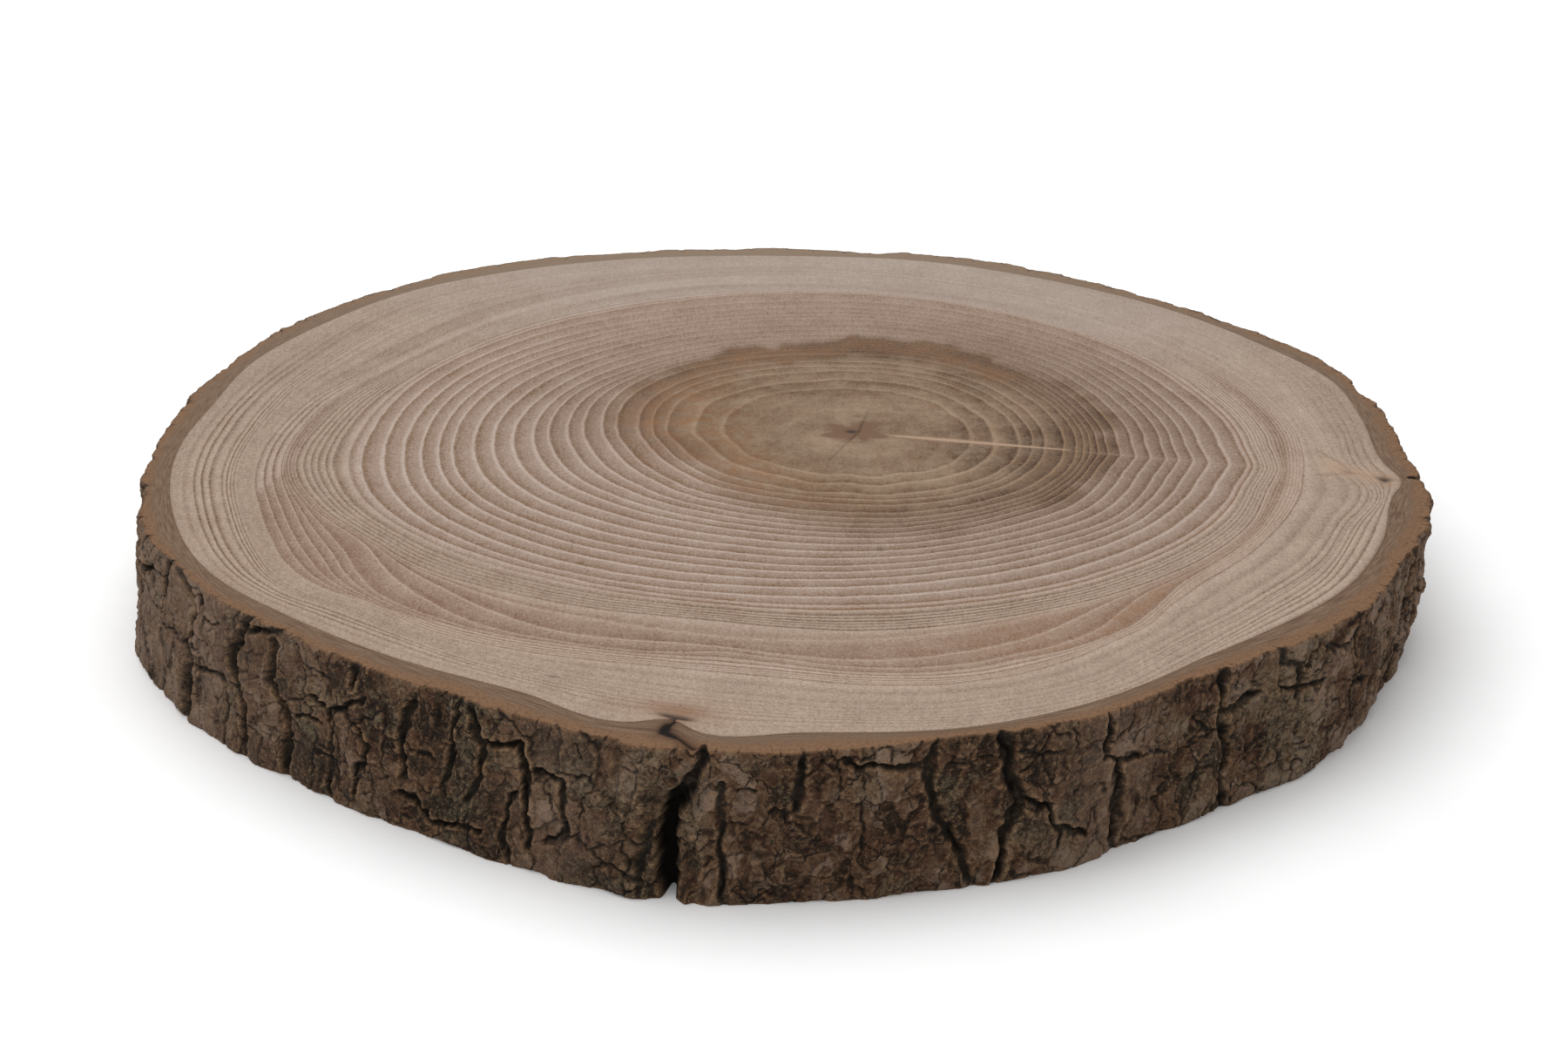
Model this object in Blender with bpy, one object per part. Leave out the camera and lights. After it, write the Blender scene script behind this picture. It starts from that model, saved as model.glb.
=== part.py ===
"""Wood slice: a disc sawn straight across a tree trunk, with its bark on.

The trunk grew as one piece, so the slice is one closed solid: two flat sawn
faces, and between them a side of bark plates parted by fissures. The side is
a grid of angle and height whose radius is the trunk's outline, less the
fissures and plus the swell of the plates.

Angles run anticlockwise from +X seen from above, and the side that faces -Y
is the front. Lengths are in metres, with MM where millimetres read better.
"""
import math

import bmesh
import bpy
import numpy as np

MM = 0.001

# The slice as a whole
THICKNESS = 35.5 * MM
MEAN_RADIUS = 149.5 * MM
LEAN = 3.2 * MM
SAWN_EDGE_WEAR = 0.7 * MM
SAWN_EDGE_HEIGHT = 2.5 * MM

# The grid that carries the bark: columns round the trunk, rows up its side
COLUMNS = 384
ROWS = 12

# Outline of the sawn face: angle in degrees, radius in millimetres
OUTLINE = (
    (0, 152.9), (10, 152.6), (20, 154.4), (30, 153.0), (42, 149.0), (56, 149.2),
    (70, 149.0), (84, 146.8), (98, 148.7), (110, 152.2), (124, 156.4), (138, 158.2),
    (152, 156.8), (168, 154.0), (184, 153.4), (197, 153.0), (208, 148.8), (219, 144.2),
    (230, 141.3), (241, 140.6), (251, 143.3), (259, 147.3), (270, 147.0), (281, 145.4),
    (294, 146.3), (308, 144.3), (318, 147.4), (328, 151.2), (340, 152.4), (352, 155.2),
)

# Bark relief, in millimetres
SWELL = 0.9
SWELL_WIDTH = 15.0
RAGGED = 0.55
RAGGED_WIDTH = 5.5
FISSURE_DEPTH_SHARE = 1.25
NARROWEST_CUT = 2.6

# Fissures of the front: a width in millimetres, then the route as angle in
# degrees and height in millimetres
FRONT_FISSURES = (
    (2.2, (204.4, 36), (202.4, 33), (202.1, 29), (202.2, 23), (201.4, 16), (201.9, 10), (202.1, -1)),
    (3.0, (205.2, 34), (208.2, 28), (208.3, 22), (207.3, 20), (208.6, 16), (207.7, 9), (207.6, -1)),
    (2.4, (217.1, 36), (216.4, 32), (215.2, 26), (215.4, 18), (216.9, 14), (216.8, -1)),
    (1.7, (217.0, 32), (219.0, 33), (221.9, 36)),
    (1.5, (209.4, 16), (213.5, 16), (214.0, 11), (214.1, -1)),
    (3.0, (220.2, 31), (220.1, 22), (221.6, 18), (222.2, 11), (222.2, -1)),
    (2.4, (230.7, 36), (230.6, 30)),
    (1.5, (225.5, 24), (227.5, 22), (229.4, 23), (230.4, 26), (232.2, 28)),
    (1.4, (227.5, 22), (228.3, 17), (227.6, 10), (228.0, -1)),
    (1.4, (229.4, 23), (232.0, 21), (232.5, 13), (231.2, 10), (231.2, 5)),
    (2.4, (236.9, 31), (236.0, 23), (236.4, 13)),
    (1.4, (222.8, 17), (226.8, 18)),
    (1.6, (235.9, 9), (238.2, 7), (239.8, 4), (242.8, 6), (245.0, 6)),
    (1.7, (242.1, 36), (241.5, 28), (240.9, 17), (240.8, 12)),
    (2.2, (243.2, 34), (243.4, 30), (244.9, 26), (244.3, 17), (243.2, 12)),
    (1.9, (244.9, 27), (248.3, 29), (248.9, 22), (249.4, 12), (249.7, 6)),
    (1.5, (248.0, 18), (247.0, 13), (247.2, 5), (247.8, -1)),
    (1.6, (249.6, 24), (252.5, 23), (253.2, 11), (251.2, 8)),
    (1.5, (265.6, 28), (265.8, 18), (266.4, 6), (266.6, -1)),
    (1.8, (271.8, 36), (271.6, 22)),
    (1.5, (275.0, 33), (276.2, 31), (278.8, 31), (281.6, 30)),
    (2.4, (282.4, 36), (282.2, 27), (283.0, 19), (285.3, 10), (287.2, -1)),
    (3.0, (288.1, 36), (289.2, 25), (290.0, 19), (289.3, 12), (288.8, -1)),
    (1.6, (290.5, 19), (292.6, 17), (293.2, 12), (296.7, 7)),
    (1.6, (297.3, 36), (297.7, 25), (299.4, 22), (301.9, 22)),
    (3.0, (299.5, 22), (300.0, 14), (300.4, -1)),
    (2.2, (309.9, 36), (310.9, 23), (311.5, 16), (311.9, 8), (312.3, -1)),
    (2.0, (310.9, 24), (314.8, 26)),
    (1.9, (316.7, 36), (317.1, 32), (319.1, 29), (319.6, 22)),
    (1.4, (317.1, 25), (319.8, 24), (323.0, 23)),
    (1.7, (322.2, 31), (325.3, 29), (326.9, 31), (326.8, 36)),
    (1.8, (326.9, 30), (327.4, 22), (327.3, 17), (330.6, 15)),
)

# The two clefts where bark grew into the trunk: width and depth in
# millimetres, angle in degrees, height in millimetres
FRONT_CLEFT = (
    (3.4, 3.6, 263.5, 36), (3.6, 5.0, 263.4, 31), (5.0, 8.0, 262.2, 24), (6.0, 9.5, 261.6, 19),
    (6.0, 9.5, 262.0, 14), (5.6, 8.5, 263.0, 8), (5.6, 8.0, 263.3, -1),
)
RIGHT_CLEFT = (
    (3.0, 3.4, 355.8, 36), (3.4, 4.4, 355.4, 20), (3.0, 3.6, 354.8, -1),
)

# Fissures of the rest of the trunk grow by rule, from seeded draws
GROWN_SPANS = ((-2.0, 199.0), (333.0, 352.0))
GROWN_SPACING = 5.6
GROWN_SEED = 37
SWELL_SEED = 11
RAGGED_SEED = 12

BARK_COLOUR = (0.085, 0.058, 0.042, 1.0)
WOOD_COLOUR = (0.36, 0.25, 0.17, 1.0)


def clear_scene():
    """Remove every object that the scene holds."""
    for item in list(bpy.data.objects):
        bpy.data.objects.remove(item, do_unlink=True)


def rounded_reading(readings, angle):
    """Read a closed curve through (degrees, value) pairs, rounded between them.

    Each stretch is a cubic whose slope at a reading is that of the line
    between the readings on either side of it.
    """
    knots = np.array(readings, dtype=float)
    turn = np.array([360.0, 0.0])
    knots = np.vstack([knots[-2:] - turn, knots, knots[:3] + turn])
    at, value = knots[:, 0], knots[:, 1]
    slope = np.gradient(value, at)
    angle = angle % 360.0
    left = np.clip(np.searchsorted(at, angle, side="right") - 1, 0, len(at) - 2)
    span = at[left + 1] - at[left]
    t = (angle - at[left]) / span
    return ((2 * t**3 - 3 * t**2 + 1) * value[left] + (t**3 - 2 * t**2 + t) * span * slope[left]
            + (3 * t**2 - 2 * t**3) * value[left + 1] + (t**3 - t**2) * span * slope[left + 1])


def soft_noise(angle, height, width, seed):
    """Smooth noise from -1 to 1, with lumps of about the width in millimetres.

    Seeded values stand on a lattice that closes round the trunk, and each
    point blends the four values round it.
    """
    around = max(4, round(2 * math.pi * MEAN_RADIUS / MM / width))
    up = math.ceil(THICKNESS / MM / width) + 3
    lattice = np.random.default_rng(seed).uniform(-1.0, 1.0, (around, up))
    u = (angle % 360.0) / 360.0 * around
    v = np.clip(height / width + 1.0, 0.0, up - 1.001)
    i, j = np.floor(u).astype(int), np.floor(v).astype(int)
    s, t = u - i, v - j
    s, t = s * s * (3 - 2 * s), t * t * (3 - 2 * t)
    i, right = i % around, (i + 1) % around
    low = lattice[i, j] * (1 - s) + lattice[right, j] * s
    high = lattice[i, j + 1] * (1 - s) + lattice[right, j + 1] * s
    return low * (1 - t) + high * t


def grown_fissures():
    """Routes for the back and sides: wandering uprights with short links.

    Every GROWN_SPACING degrees or so an upright runs the full height or most
    of it, and between two uprights one or two cracks slant across.
    """
    draw = np.random.default_rng(GROWN_SEED)
    top = THICKNESS / MM
    routes = []
    for start, stop in GROWN_SPANS:
        angle = start + draw.uniform(0.3, 0.7) * GROWN_SPACING
        while angle < stop:
            width = draw.uniform(1.4, 3.2)
            first = top + 1.0 if draw.random() < 0.8 else draw.uniform(0.7, 0.9) * top
            last = -1.0 if draw.random() < 0.8 else draw.uniform(0.1, 0.35) * top
            heights = np.linspace(first, last, 6)
            drift = np.cumsum(draw.normal(0.0, 0.55, 6))
            routes.append((width, *zip(angle + drift - drift.mean(), heights)))
            for _ in range(draw.integers(1, 3)):
                height = draw.uniform(0.12, 0.9) * top
                reach = GROWN_SPACING * draw.uniform(0.7, 1.1)
                middle = (angle + reach * 0.5, height + draw.normal(0.0, 1.5))
                end = (angle + reach, height + draw.normal(0.0, 3.0))
                routes.append((draw.uniform(1.2, 1.7), (angle, height), middle, end))
            angle += GROWN_SPACING * draw.uniform(0.7, 1.3)
    return routes


def route_closeness(angle, height, route):
    """Distance in millimetres to a route, and how far along it the near point is."""
    points = np.array(route, dtype=float)
    per_degree = math.radians(1.0) * MEAN_RADIUS / MM
    middle = points[:, 0].mean()
    x = ((angle - middle + 180.0) % 360.0 - 180.0) * per_degree
    px = (points[:, 0] - middle) * per_degree
    py = points[:, 1]
    best = np.full(np.shape(angle), 1e9)
    along = np.zeros(np.shape(angle))
    for k in range(len(points) - 1):
        dx, dy = px[k + 1] - px[k], py[k + 1] - py[k]
        t = np.clip(((x - px[k]) * dx + (height - py[k]) * dy) / (dx * dx + dy * dy), 0.0, 1.0)
        away = np.hypot(x - px[k] - t * dx, height - py[k] - t * dy)
        nearer = away < best
        best = np.where(nearer, away, best)
        along = np.where(nearer, k + t, along)
    return best, along


def groove(distance, width):
    """Cross-section of a fissure: 1 along its middle, falling to 0 past its lips."""
    return np.exp(-(distance / (0.62 * width)) ** 4)


def fissure_cut(angle, height):
    """Depth in millimetres that fissures and clefts take off the side."""
    cut = np.zeros(np.shape(angle))
    for width, *route in list(FRONT_FISSURES) + grown_fissures():
        distance, _ = route_closeness(angle, height, route)
        depth = width * FISSURE_DEPTH_SHARE
        cut = np.maximum(cut, depth * groove(distance, max(width, NARROWEST_CUT)))
    for cleft in (FRONT_CLEFT, RIGHT_CLEFT):
        sizes = np.array(cleft, dtype=float)
        distance, along = route_closeness(angle, height, sizes[:, 2:])
        stations = np.arange(len(sizes))
        width = np.interp(along, stations, sizes[:, 0])
        depth = np.interp(along, stations, sizes[:, 1])
        cut = np.maximum(cut, depth * groove(distance, width))
    return cut


def side_radius(angle, height):
    """Radius of the bark in metres at an angle in degrees and a height in metres."""
    high = height / MM
    radius = rounded_reading(OUTLINE, angle)
    radius = radius + SWELL * soft_noise(angle, high, SWELL_WIDTH, SWELL_SEED)
    radius = radius + RAGGED * soft_noise(angle, high, RAGGED_WIDTH, RAGGED_SEED)
    radius = (radius - fissure_cut(angle, high)) * MM
    edge = np.minimum(height, THICKNESS - height)
    wear = SAWN_EDGE_WEAR * (1.0 - np.clip(edge / SAWN_EDGE_HEIGHT, 0.0, 1.0)) ** 2
    return radius - wear


def side_points():
    """Points of the side, row by row from the underside up."""
    angle = np.arange(COLUMNS) * 360.0 / COLUMNS
    height = np.linspace(0.0, THICKNESS, ROWS + 1)
    angle, height = np.meshgrid(angle, height)
    radius = side_radius(angle, height)
    turn = np.radians(angle)
    x = radius * np.cos(turn) - LEAN * (1.0 - height / THICKNESS)
    y = radius * np.sin(turn)
    x = x - (x.max() + x.min()) / 2
    y = y - (y.max() + y.min()) / 2
    return np.stack([x, y, height], axis=-1)


def side_faces():
    """Squares that join each point to the next round the trunk and the row above."""
    column = np.arange(COLUMNS)
    right = (column + 1) % COLUMNS
    faces = []
    for row in range(ROWS):
        low, high = row * COLUMNS, (row + 1) * COLUMNS
        ring = np.stack([low + column, low + right, high + right, high + column], axis=-1)
        faces.extend(ring.tolist())
    return faces


def make_material(name, colour, roughness):
    """A plain non-metal finish of one colour."""
    material = bpy.data.materials.new(name)
    material.use_nodes = True
    shader = material.node_tree.nodes["Principled BSDF"]
    shader.inputs["Base Color"].default_value = colour
    shader.inputs["Roughness"].default_value = roughness
    shader.inputs["Metallic"].default_value = 0.0
    return material


def bark_material():
    return make_material("rough_bark", BARK_COLOUR, 0.9)


def sawn_wood_material():
    return make_material("sawn_wood", WOOD_COLOUR, 0.6)


def make_wood_slice():
    """The slice: the bark side, closed by the two flat sawn faces."""
    points = side_points().reshape(-1, 3)
    first_of_top = ROWS * COLUMNS
    underside = list(range(COLUMNS))[::-1]
    top_face = [first_of_top + column for column in range(COLUMNS)]
    mesh = bpy.data.meshes.new("wood_slice")
    mesh.from_pydata(points.tolist(), [], side_faces() + [underside, top_face])
    mesh.materials.append(bark_material())
    mesh.materials.append(sawn_wood_material())
    mesh.polygons[-1].material_index = 1
    mesh.polygons[-2].material_index = 1
    shape = bmesh.new()
    shape.from_mesh(mesh)
    flat_faces = [face for face in shape.faces if len(face.verts) > 4]
    bmesh.ops.triangulate(shape, faces=flat_faces, ngon_method="BEAUTY")
    shape.to_mesh(mesh)
    shape.free()
    mesh.validate()
    wood_slice = bpy.data.objects.new("wood_slice", mesh)
    bpy.context.scene.collection.objects.link(wood_slice)
    return wood_slice


def main():
    clear_scene()
    make_wood_slice()


main()
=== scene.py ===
"""Wood slice with its rings and bark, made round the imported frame.

The wood inside the bark is one disc, a grid of ring age and angle round the
pith. The bark is four quarters that join in fissures, each a grid of angle and
a closed profile: up the rough side, in over the sawn rim, down against the
wood and out again below.

Angles run anticlockwise from +X seen from above, and -Y is the front.
Lengths are in millimetres until a mesh is filled, which is in metres.
"""
import math

import bpy
import numpy as np
from mathutils import Matrix, Vector


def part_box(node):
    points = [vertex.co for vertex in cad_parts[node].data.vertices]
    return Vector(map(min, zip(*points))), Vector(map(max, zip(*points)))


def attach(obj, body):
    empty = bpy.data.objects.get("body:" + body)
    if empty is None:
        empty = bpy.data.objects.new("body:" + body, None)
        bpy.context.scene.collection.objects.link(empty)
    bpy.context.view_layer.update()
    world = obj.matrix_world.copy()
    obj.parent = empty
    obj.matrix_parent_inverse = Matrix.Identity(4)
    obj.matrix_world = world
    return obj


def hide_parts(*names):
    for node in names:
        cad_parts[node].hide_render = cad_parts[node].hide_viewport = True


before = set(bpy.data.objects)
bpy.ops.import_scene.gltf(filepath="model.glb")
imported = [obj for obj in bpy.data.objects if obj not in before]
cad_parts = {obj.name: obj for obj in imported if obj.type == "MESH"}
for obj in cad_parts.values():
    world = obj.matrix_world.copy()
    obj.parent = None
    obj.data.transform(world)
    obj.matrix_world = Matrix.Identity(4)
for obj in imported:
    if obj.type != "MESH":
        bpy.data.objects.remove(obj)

bl_info = {
    "name": "Wood Slice",
    "version": (1, 0, 0),
    "blender": (4, 5, 0),
    "location": "3D View > Sidebar > Wood Slice",
    "description": "Builds a sawn wood slice with growth rings and fissured bark",
    "category": "Add Mesh",
}

MM = 0.001
LOW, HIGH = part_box("wood_slice")
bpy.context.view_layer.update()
THICKNESS = (HIGH.z - LOW.z) / MM

# The outline's centre and the pith's place from it, in the frame
OUTLINE_CENTRE = (1.77, -0.35)
PITH = (18.4, 14.2)
LEAN = 3.2
MEAN_RADIUS = 149.5
PER_DEGREE = math.radians(1.0) * MEAN_RADIUS

# Outline of the sawn face round its centre: angle in degrees, radius
OUTLINE = (
    (0, 152.9), (10, 152.6), (20, 154.4), (30, 153.0), (42, 149.0), (56, 149.2),
    (70, 149.0), (84, 146.8), (98, 148.7), (110, 152.2), (124, 156.4), (138, 158.2),
    (152, 156.8), (168, 154.0), (184, 153.4), (197, 153.0), (208, 148.8), (219, 144.2),
    (230, 141.3), (241, 140.6), (251, 143.3), (259, 147.3), (270, 147.0), (281, 145.4),
    (294, 146.3), (308, 144.3), (318, 147.4), (328, 151.2), (340, 152.4), (352, 155.2),
)

# Growth rings round the pith, each an age in rings and its radius by angle.
# The last one is the cambium, where wood ends and bark begins.
KEY_RINGS = (
    (1, ((0, 42.5), (20, 41.5), (40, 42.0), (60, 42.5), (80, 43.0), (100, 44.0), (120, 47.5),
         (140, 50.9), (160, 52.4), (180, 50.2), (200, 46.8), (220, 44.4), (240, 41.1),
         (260, 39.7), (280, 40.2), (300, 41.8), (320, 43.3), (340, 43.6))),
    (4, ((0, 53.2), (20, 52.1), (40, 52.9), (60, 53.5), (80, 54.5), (100, 55.6), (120, 59.5),
         (140, 63.6), (160, 65.1), (180, 62.6), (200, 59.1), (220, 55.6), (240, 51.7),
         (260, 50.1), (280, 50.4), (300, 51.5), (320, 53.6), (340, 54.3))),
    (7, ((0, 58.2), (20, 57.0), (40, 58.0), (60, 58.9), (80, 60.3), (100, 61.6), (120, 66.0),
         (140, 69.6), (160, 75.2), (180, 76.2), (200, 73.5), (220, 66.8), (240, 61.2),
         (260, 58.6), (280, 58.4), (300, 57.7), (320, 59.0), (340, 58.8))),
    (9, ((0, 63.2), (20, 62.0), (40, 63.0), (60, 64.0), (80, 65.5), (100, 67.0), (120, 71.9),
         (140, 77.3), (160, 81.7), (180, 84.8), (200, 83.0), (220, 74.9), (240, 68.4),
         (260, 65.0), (280, 64.1), (300, 63.6), (320, 64.7), (340, 63.6))),
    (12, ((0, 73.8), (20, 72.0), (40, 72.8), (60, 74.0), (80, 76.0), (100, 78.6), (120, 83.4),
          (140, 89.0), (160, 95.9), (180, 99.2), (200, 98.9), (220, 90.1), (240, 81.4),
          (260, 76.6), (280, 74.0), (300, 73.9), (320, 76.0), (340, 74.7))),
    (15, ((0, 83.0), (20, 80.5), (40, 81.2), (60, 81.8), (80, 85.0), (100, 87.7), (120, 92.2),
          (140, 99.5), (160, 106.7), (180, 110.7), (200, 111.2), (220, 103.7), (240, 94.8),
          (260, 87.8), (280, 84.4), (300, 83.9), (320, 84.7), (340, 85.1))),
    (16, ((0, 88.0), (20, 84.8), (40, 85.0), (60, 86.3), (80, 89.5), (100, 92.1), (120, 97.4),
          (140, 105.2), (160, 111.3), (180, 115.5), (200, 116.0), (220, 108.4), (240, 98.9),
          (260, 92.4), (280, 89.7), (300, 89.4), (320, 89.6), (340, 89.7))),
    (17, ((0, 92.5), (20, 89.0), (40, 89.5), (60, 91.0), (80, 95.0), (100, 98.5), (120, 103.0),
          (140, 109.5), (160, 115.8), (180, 120.1), (190, 121.9), (200, 121.0), (210, 116.8),
          (220, 111.5), (240, 102.0), (260, 96.5), (280, 94.5), (300, 94.1), (320, 94.5),
          (340, 94.4))),
    (24, ((0, 100.4), (20, 97.5), (40, 97.0), (60, 98.0), (80, 101.0), (100, 105.5), (120, 113.0),
          (140, 118.5), (160, 123.5), (175, 132.0), (190, 137.6), (200, 134.0), (210, 128.6),
          (215, 127.2), (220, 125.0), (225, 122.0), (230, 119.0), (235, 116.3), (240, 113.5),
          (245, 110.8), (250, 108.8), (260, 107.6), (270, 107.7), (280, 106.2), (290, 104.7),
          (300, 104.4), (320, 104.3), (330, 103.8), (340, 102.0), (350, 101.2))),
    (33, ((0, 108.0), (20, 105.5), (40, 104.0), (60, 104.6), (80, 107.5), (100, 114.0),
          (120, 120.0), (140, 125.5), (160, 130.5), (175, 141.0), (190, 146.8), (200, 147.8),
          (205, 148.8), (210, 150.0), (215, 149.3), (220, 145.6), (230, 143.0), (240, 137.5),
          (250, 132.0), (255, 130.8), (260, 130.4), (270, 132.0), (277, 132.4), (283, 131.0),
          (290, 127.2), (295, 123.4), (300, 120.4), (305, 115.6), (310, 112.4), (320, 111.0),
          (340, 109.5))),
    (37, ((0, 113.0), (20, 113.0), (40, 113.0), (60, 113.0), (80, 115.5), (100, 121.0),
          (120, 130.0), (140, 140.0), (163, 145.0), (175, 148.0), (190, 152.5), (200, 153.8),
          (205, 154.7), (212, 155.5), (216, 154.3), (220, 150.2), (225, 148.2), (230, 147.3),
          (240, 145.5), (257, 143.5), (280, 143.5), (290, 139.5), (300, 131.0), (312, 126.8),
          (325, 125.6), (335, 123.3), (345, 124.5), (352, 116.0))),
    (41, ((0, 120.0), (20, 120.5), (40, 119.0), (60, 118.5), (80, 120.5), (100, 124.5),
          (120, 136.0), (140, 150.0), (163, 152.5), (177, 156.5), (190, 159.5), (200, 160.5),
          (210, 161.0), (215, 159.0), (220, 155.0), (225, 152.0), (235, 149.6), (250, 148.5),
          (270, 147.5), (280, 148.0), (290, 144.5), (300, 137.0), (310, 131.8), (320, 130.8),
          (335, 126.5), (345, 127.5), (352, 121.0))),
    (44, ((5, 126.5), (15, 127.6), (30, 123.4), (45, 121.7), (64, 121.7), (80, 124.9),
          (97, 128.0), (105, 131.5), (120, 141.0), (130, 148.0), (141, 155.5), (152.8, 159.3),
          (163.7, 162.7), (174.8, 162.9), (183, 165.7), (195.6, 167.4), (208.6, 166.8),
          (219.9, 161.0), (230.3, 157.0), (242.1, 154.0), (251.2, 156.9), (254.6, 153.2),
          (257.0, 156.6), (264.8, 153.3), (277, 151.4), (286.6, 147.2), (295.2, 141.8),
          (300.4, 138.7), (307, 137.2), (321.4, 136.4), (332.4, 133.6), (343.6, 130.6),
          (348, 132.0), (352, 128.2))),
)

# Rings of the crescents, where growth was fast on one side only. Each is an
# age and, by angle, its share of the way from ring 24 to ring 33.
CRESCENT_RINGS = (
    (25, ((20, 0.12), (100, 0.12), (170, 0.08), (190, 0.04), (205, 0.03), (220, 0.06), (230, 0.154),
          (240, 0.2), (250, 0.28), (255, 0.29), (260, 0.25), (270, 0.16), (280, 0.1), (300, 0.07),
          (320, 0.12))),
    (26, ((20, 0.25), (100, 0.25), (170, 0.15), (190, 0.08), (200, 0.06), (210, 0.05), (215, 0.08),
          (220, 0.175), (230, 0.39), (240, 0.554), (245, 0.54), (250, 0.51), (255, 0.504),
          (260, 0.544), (270, 0.56), (280, 0.49), (285, 0.466), (290, 0.41), (295, 0.29),
          (300, 0.16), (310, 0.14), (320, 0.2))),
    (27, ((20, 0.38), (100, 0.38), (170, 0.25), (190, 0.17), (200, 0.12), (210, 0.12), (215, 0.235),
          (220, 0.43), (230, 0.66), (240, 0.725), (250, 0.71), (255, 0.6), (260, 0.627), (270, 0.7),
          (280, 0.7), (285, 0.68), (290, 0.707), (295, 0.674), (300, 0.456), (305, 0.3),
          (310, 0.29), (320, 0.33))),
    (28, ((20, 0.5), (100, 0.5), (170, 0.33), (190, 0.26), (200, 0.22), (205, 0.29), (210, 0.38),
          (215, 0.525), (220, 0.75), (230, 0.77), (240, 0.78), (250, 0.77), (255, 0.71), (260, 0.73),
          (270, 0.79), (280, 0.79), (285, 0.77), (290, 0.83), (295, 0.88), (300, 0.84), (305, 0.77),
          (310, 0.56), (320, 0.5))),
    (30, ((20, 0.7), (100, 0.7), (170, 0.45), (190, 0.37), (200, 0.45), (205, 0.56), (210, 0.626),
          (215, 0.75), (220, 0.885), (230, 0.875), (240, 0.88), (250, 0.89), (255, 0.88), (260, 0.88),
          (270, 0.89), (280, 0.92), (290, 0.92), (295, 0.95), (305, 0.9), (310, 0.8), (320, 0.75))),
)

# Where each other ring lies, as a share of the way between the nearest two above
RINGS_BETWEEN = {
    -5: 0.17, -4: 0.33, -3: 0.5, -2: 0.65, -1: 0.785, 0: 0.926,
    2: 0.28, 3: 0.72, 5: 0.36, 6: 0.65, 8: 0.43, 10: 0.33, 11: 0.65, 13: 0.29, 14: 0.64,
    18: 0.2, 19: 0.44, 20: 0.545, 21: 0.67, 22: 0.77, 23: 0.88,
    29: 0.5, 31: 0.35, 32: 0.68, 34: 0.35, 35: 0.7, 36: 0.88,
    38: 0.13, 39: 0.3, 40: 0.72, 42: 0.25, 43: 0.6,
}

# How strongly the dark line that ends a ring shows: age, then front, left and right
LINE_STRENGTHS = (
    (17, 0.8, 0.7, 0.7), (18, 1.0, 0.7, 1.0), (19, 0.7, 0.7, 0.5), (20, 1.0, 0.7, 0.6),
    (21, 1.0, 0.6, 0.7), (22, 0.7, 0.65, 0.4), (23, 0.5, 0.65, 0.4), (24, 1.0, 0.7, 1.0),
    (25, 0.1, 0.8, 0.3), (26, 0.2, 0.8, 0.3), (27, 0.8, 0.8, 0.5), (28, 1.0, 0.8, 0.7),
    (29, 1.0, 0.8, 0.5), (30, 0.9, 0.8, 0.5), (31, 0.8, 0.8, 0.4), (32, 0.5, 0.8, 0.4),
    (33, 0.8, 0.5, 0.9), (34, 0.15, 0.0, 0.25), (35, 0.2, 0.1, 0.3), (36, 0.2, 0.6, 0.6),
    (37, 0.25, 0.7, 0.8), (38, 0.1, 1.0, 0.9), (39, 0.3, 0.5, 0.6), (40, 0.2, 0.7, 0.6),
    (41, 0.4, 0.9, 1.0), (42, 0.3, 0.7, 0.7), (43, 0.1, 0.2, 0.9), (44, 0.0, 0.0, 0.3),
)
PITH_AGE = -6
LAST_AGE = 44

# The heart's stain round the pith, each by angle: the radii where it starts and
# ends, how strong it is, and how strong the halo outside it is
STAIN_START = ((0, 47), (30, 46), (60, 48), (90, 47), (120, 47), (150, 49), (180, 44), (210, 36),
               (240, 38), (270, 42), (300, 44), (330, 44))
STAIN_END = ((0, 63), (30, 62), (60, 61.5), (90, 60.5), (115, 61), (135, 60), (155, 62), (180, 58),
             (205, 47), (235, 48), (255, 54), (270, 58), (287, 60), (305, 60), (325, 61), (345, 63))
STAIN_STRENGTH = ((0, 1.0), (30, 0.8), (60, 0.85), (90, 0.9), (120, 0.8), (150, 0.85), (180, 0.65),
                  (210, 0.35), (240, 0.42), (270, 0.55), (300, 0.72), (330, 1.0))
HALO_STRENGTH = ((0, 0.85), (30, 0.75), (60, 0.58), (90, 0.34), (120, 0.36), (150, 0.52),
                 (180, 0.55), (205, 0.15), (240, 0.08), (270, 0.16), (300, 0.42), (330, 0.62))

# Lightness across a year, from its start at 0 to its end at 1: of broad rings, of
# tight ones, and of the tight ones of the outer wood
WIDE_RING = ((0.0, 0.6), (0.03, 1.0), (0.12, 0.95), (0.23, 0.56), (0.45, 0.44), (0.65, 0.34),
             (0.84, 0.13), (0.93, 0.1), (1.0, 0.6))
TIGHT_RING = ((0.0, 0.7), (0.08, 1.0), (0.28, 0.88), (0.52, 0.55), (0.74, 0.14), (0.88, 0.1), (1.0, 0.7))
OUTER_RING = ((0.0, 0.1), (0.1, 0.85), (0.3, 1.0), (0.55, 0.85), (0.74, 0.5), (0.88, 0.05), (1.0, 0.1))

# The ingrown spots: the front slit's angle and radius, and the right seam's route by
# radius. Along the seam the rings have a corner, in degrees to either side.
FRONT_SLIT = (254.7, 151.7)
SEAM_RADII = (110.0, 119.0, 128.0, 137.0)
SEAM_ANGLES = (352.2, 349.4, 348.1, 348.0)
CORNER_ANGLE = 348.3
CORNER_REACH = 7.5

# Ochre that follows rings: angle, half width, strength, and the ages where it
# opens, is full, closes and is shut
OCHRE_RINGS = ((300, 13, 1.0, (26.9, 27.1, 27.9, 28.0)), (287, 10, 0.5, (24.5, 25.5, 26.8, 27.0)))

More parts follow.
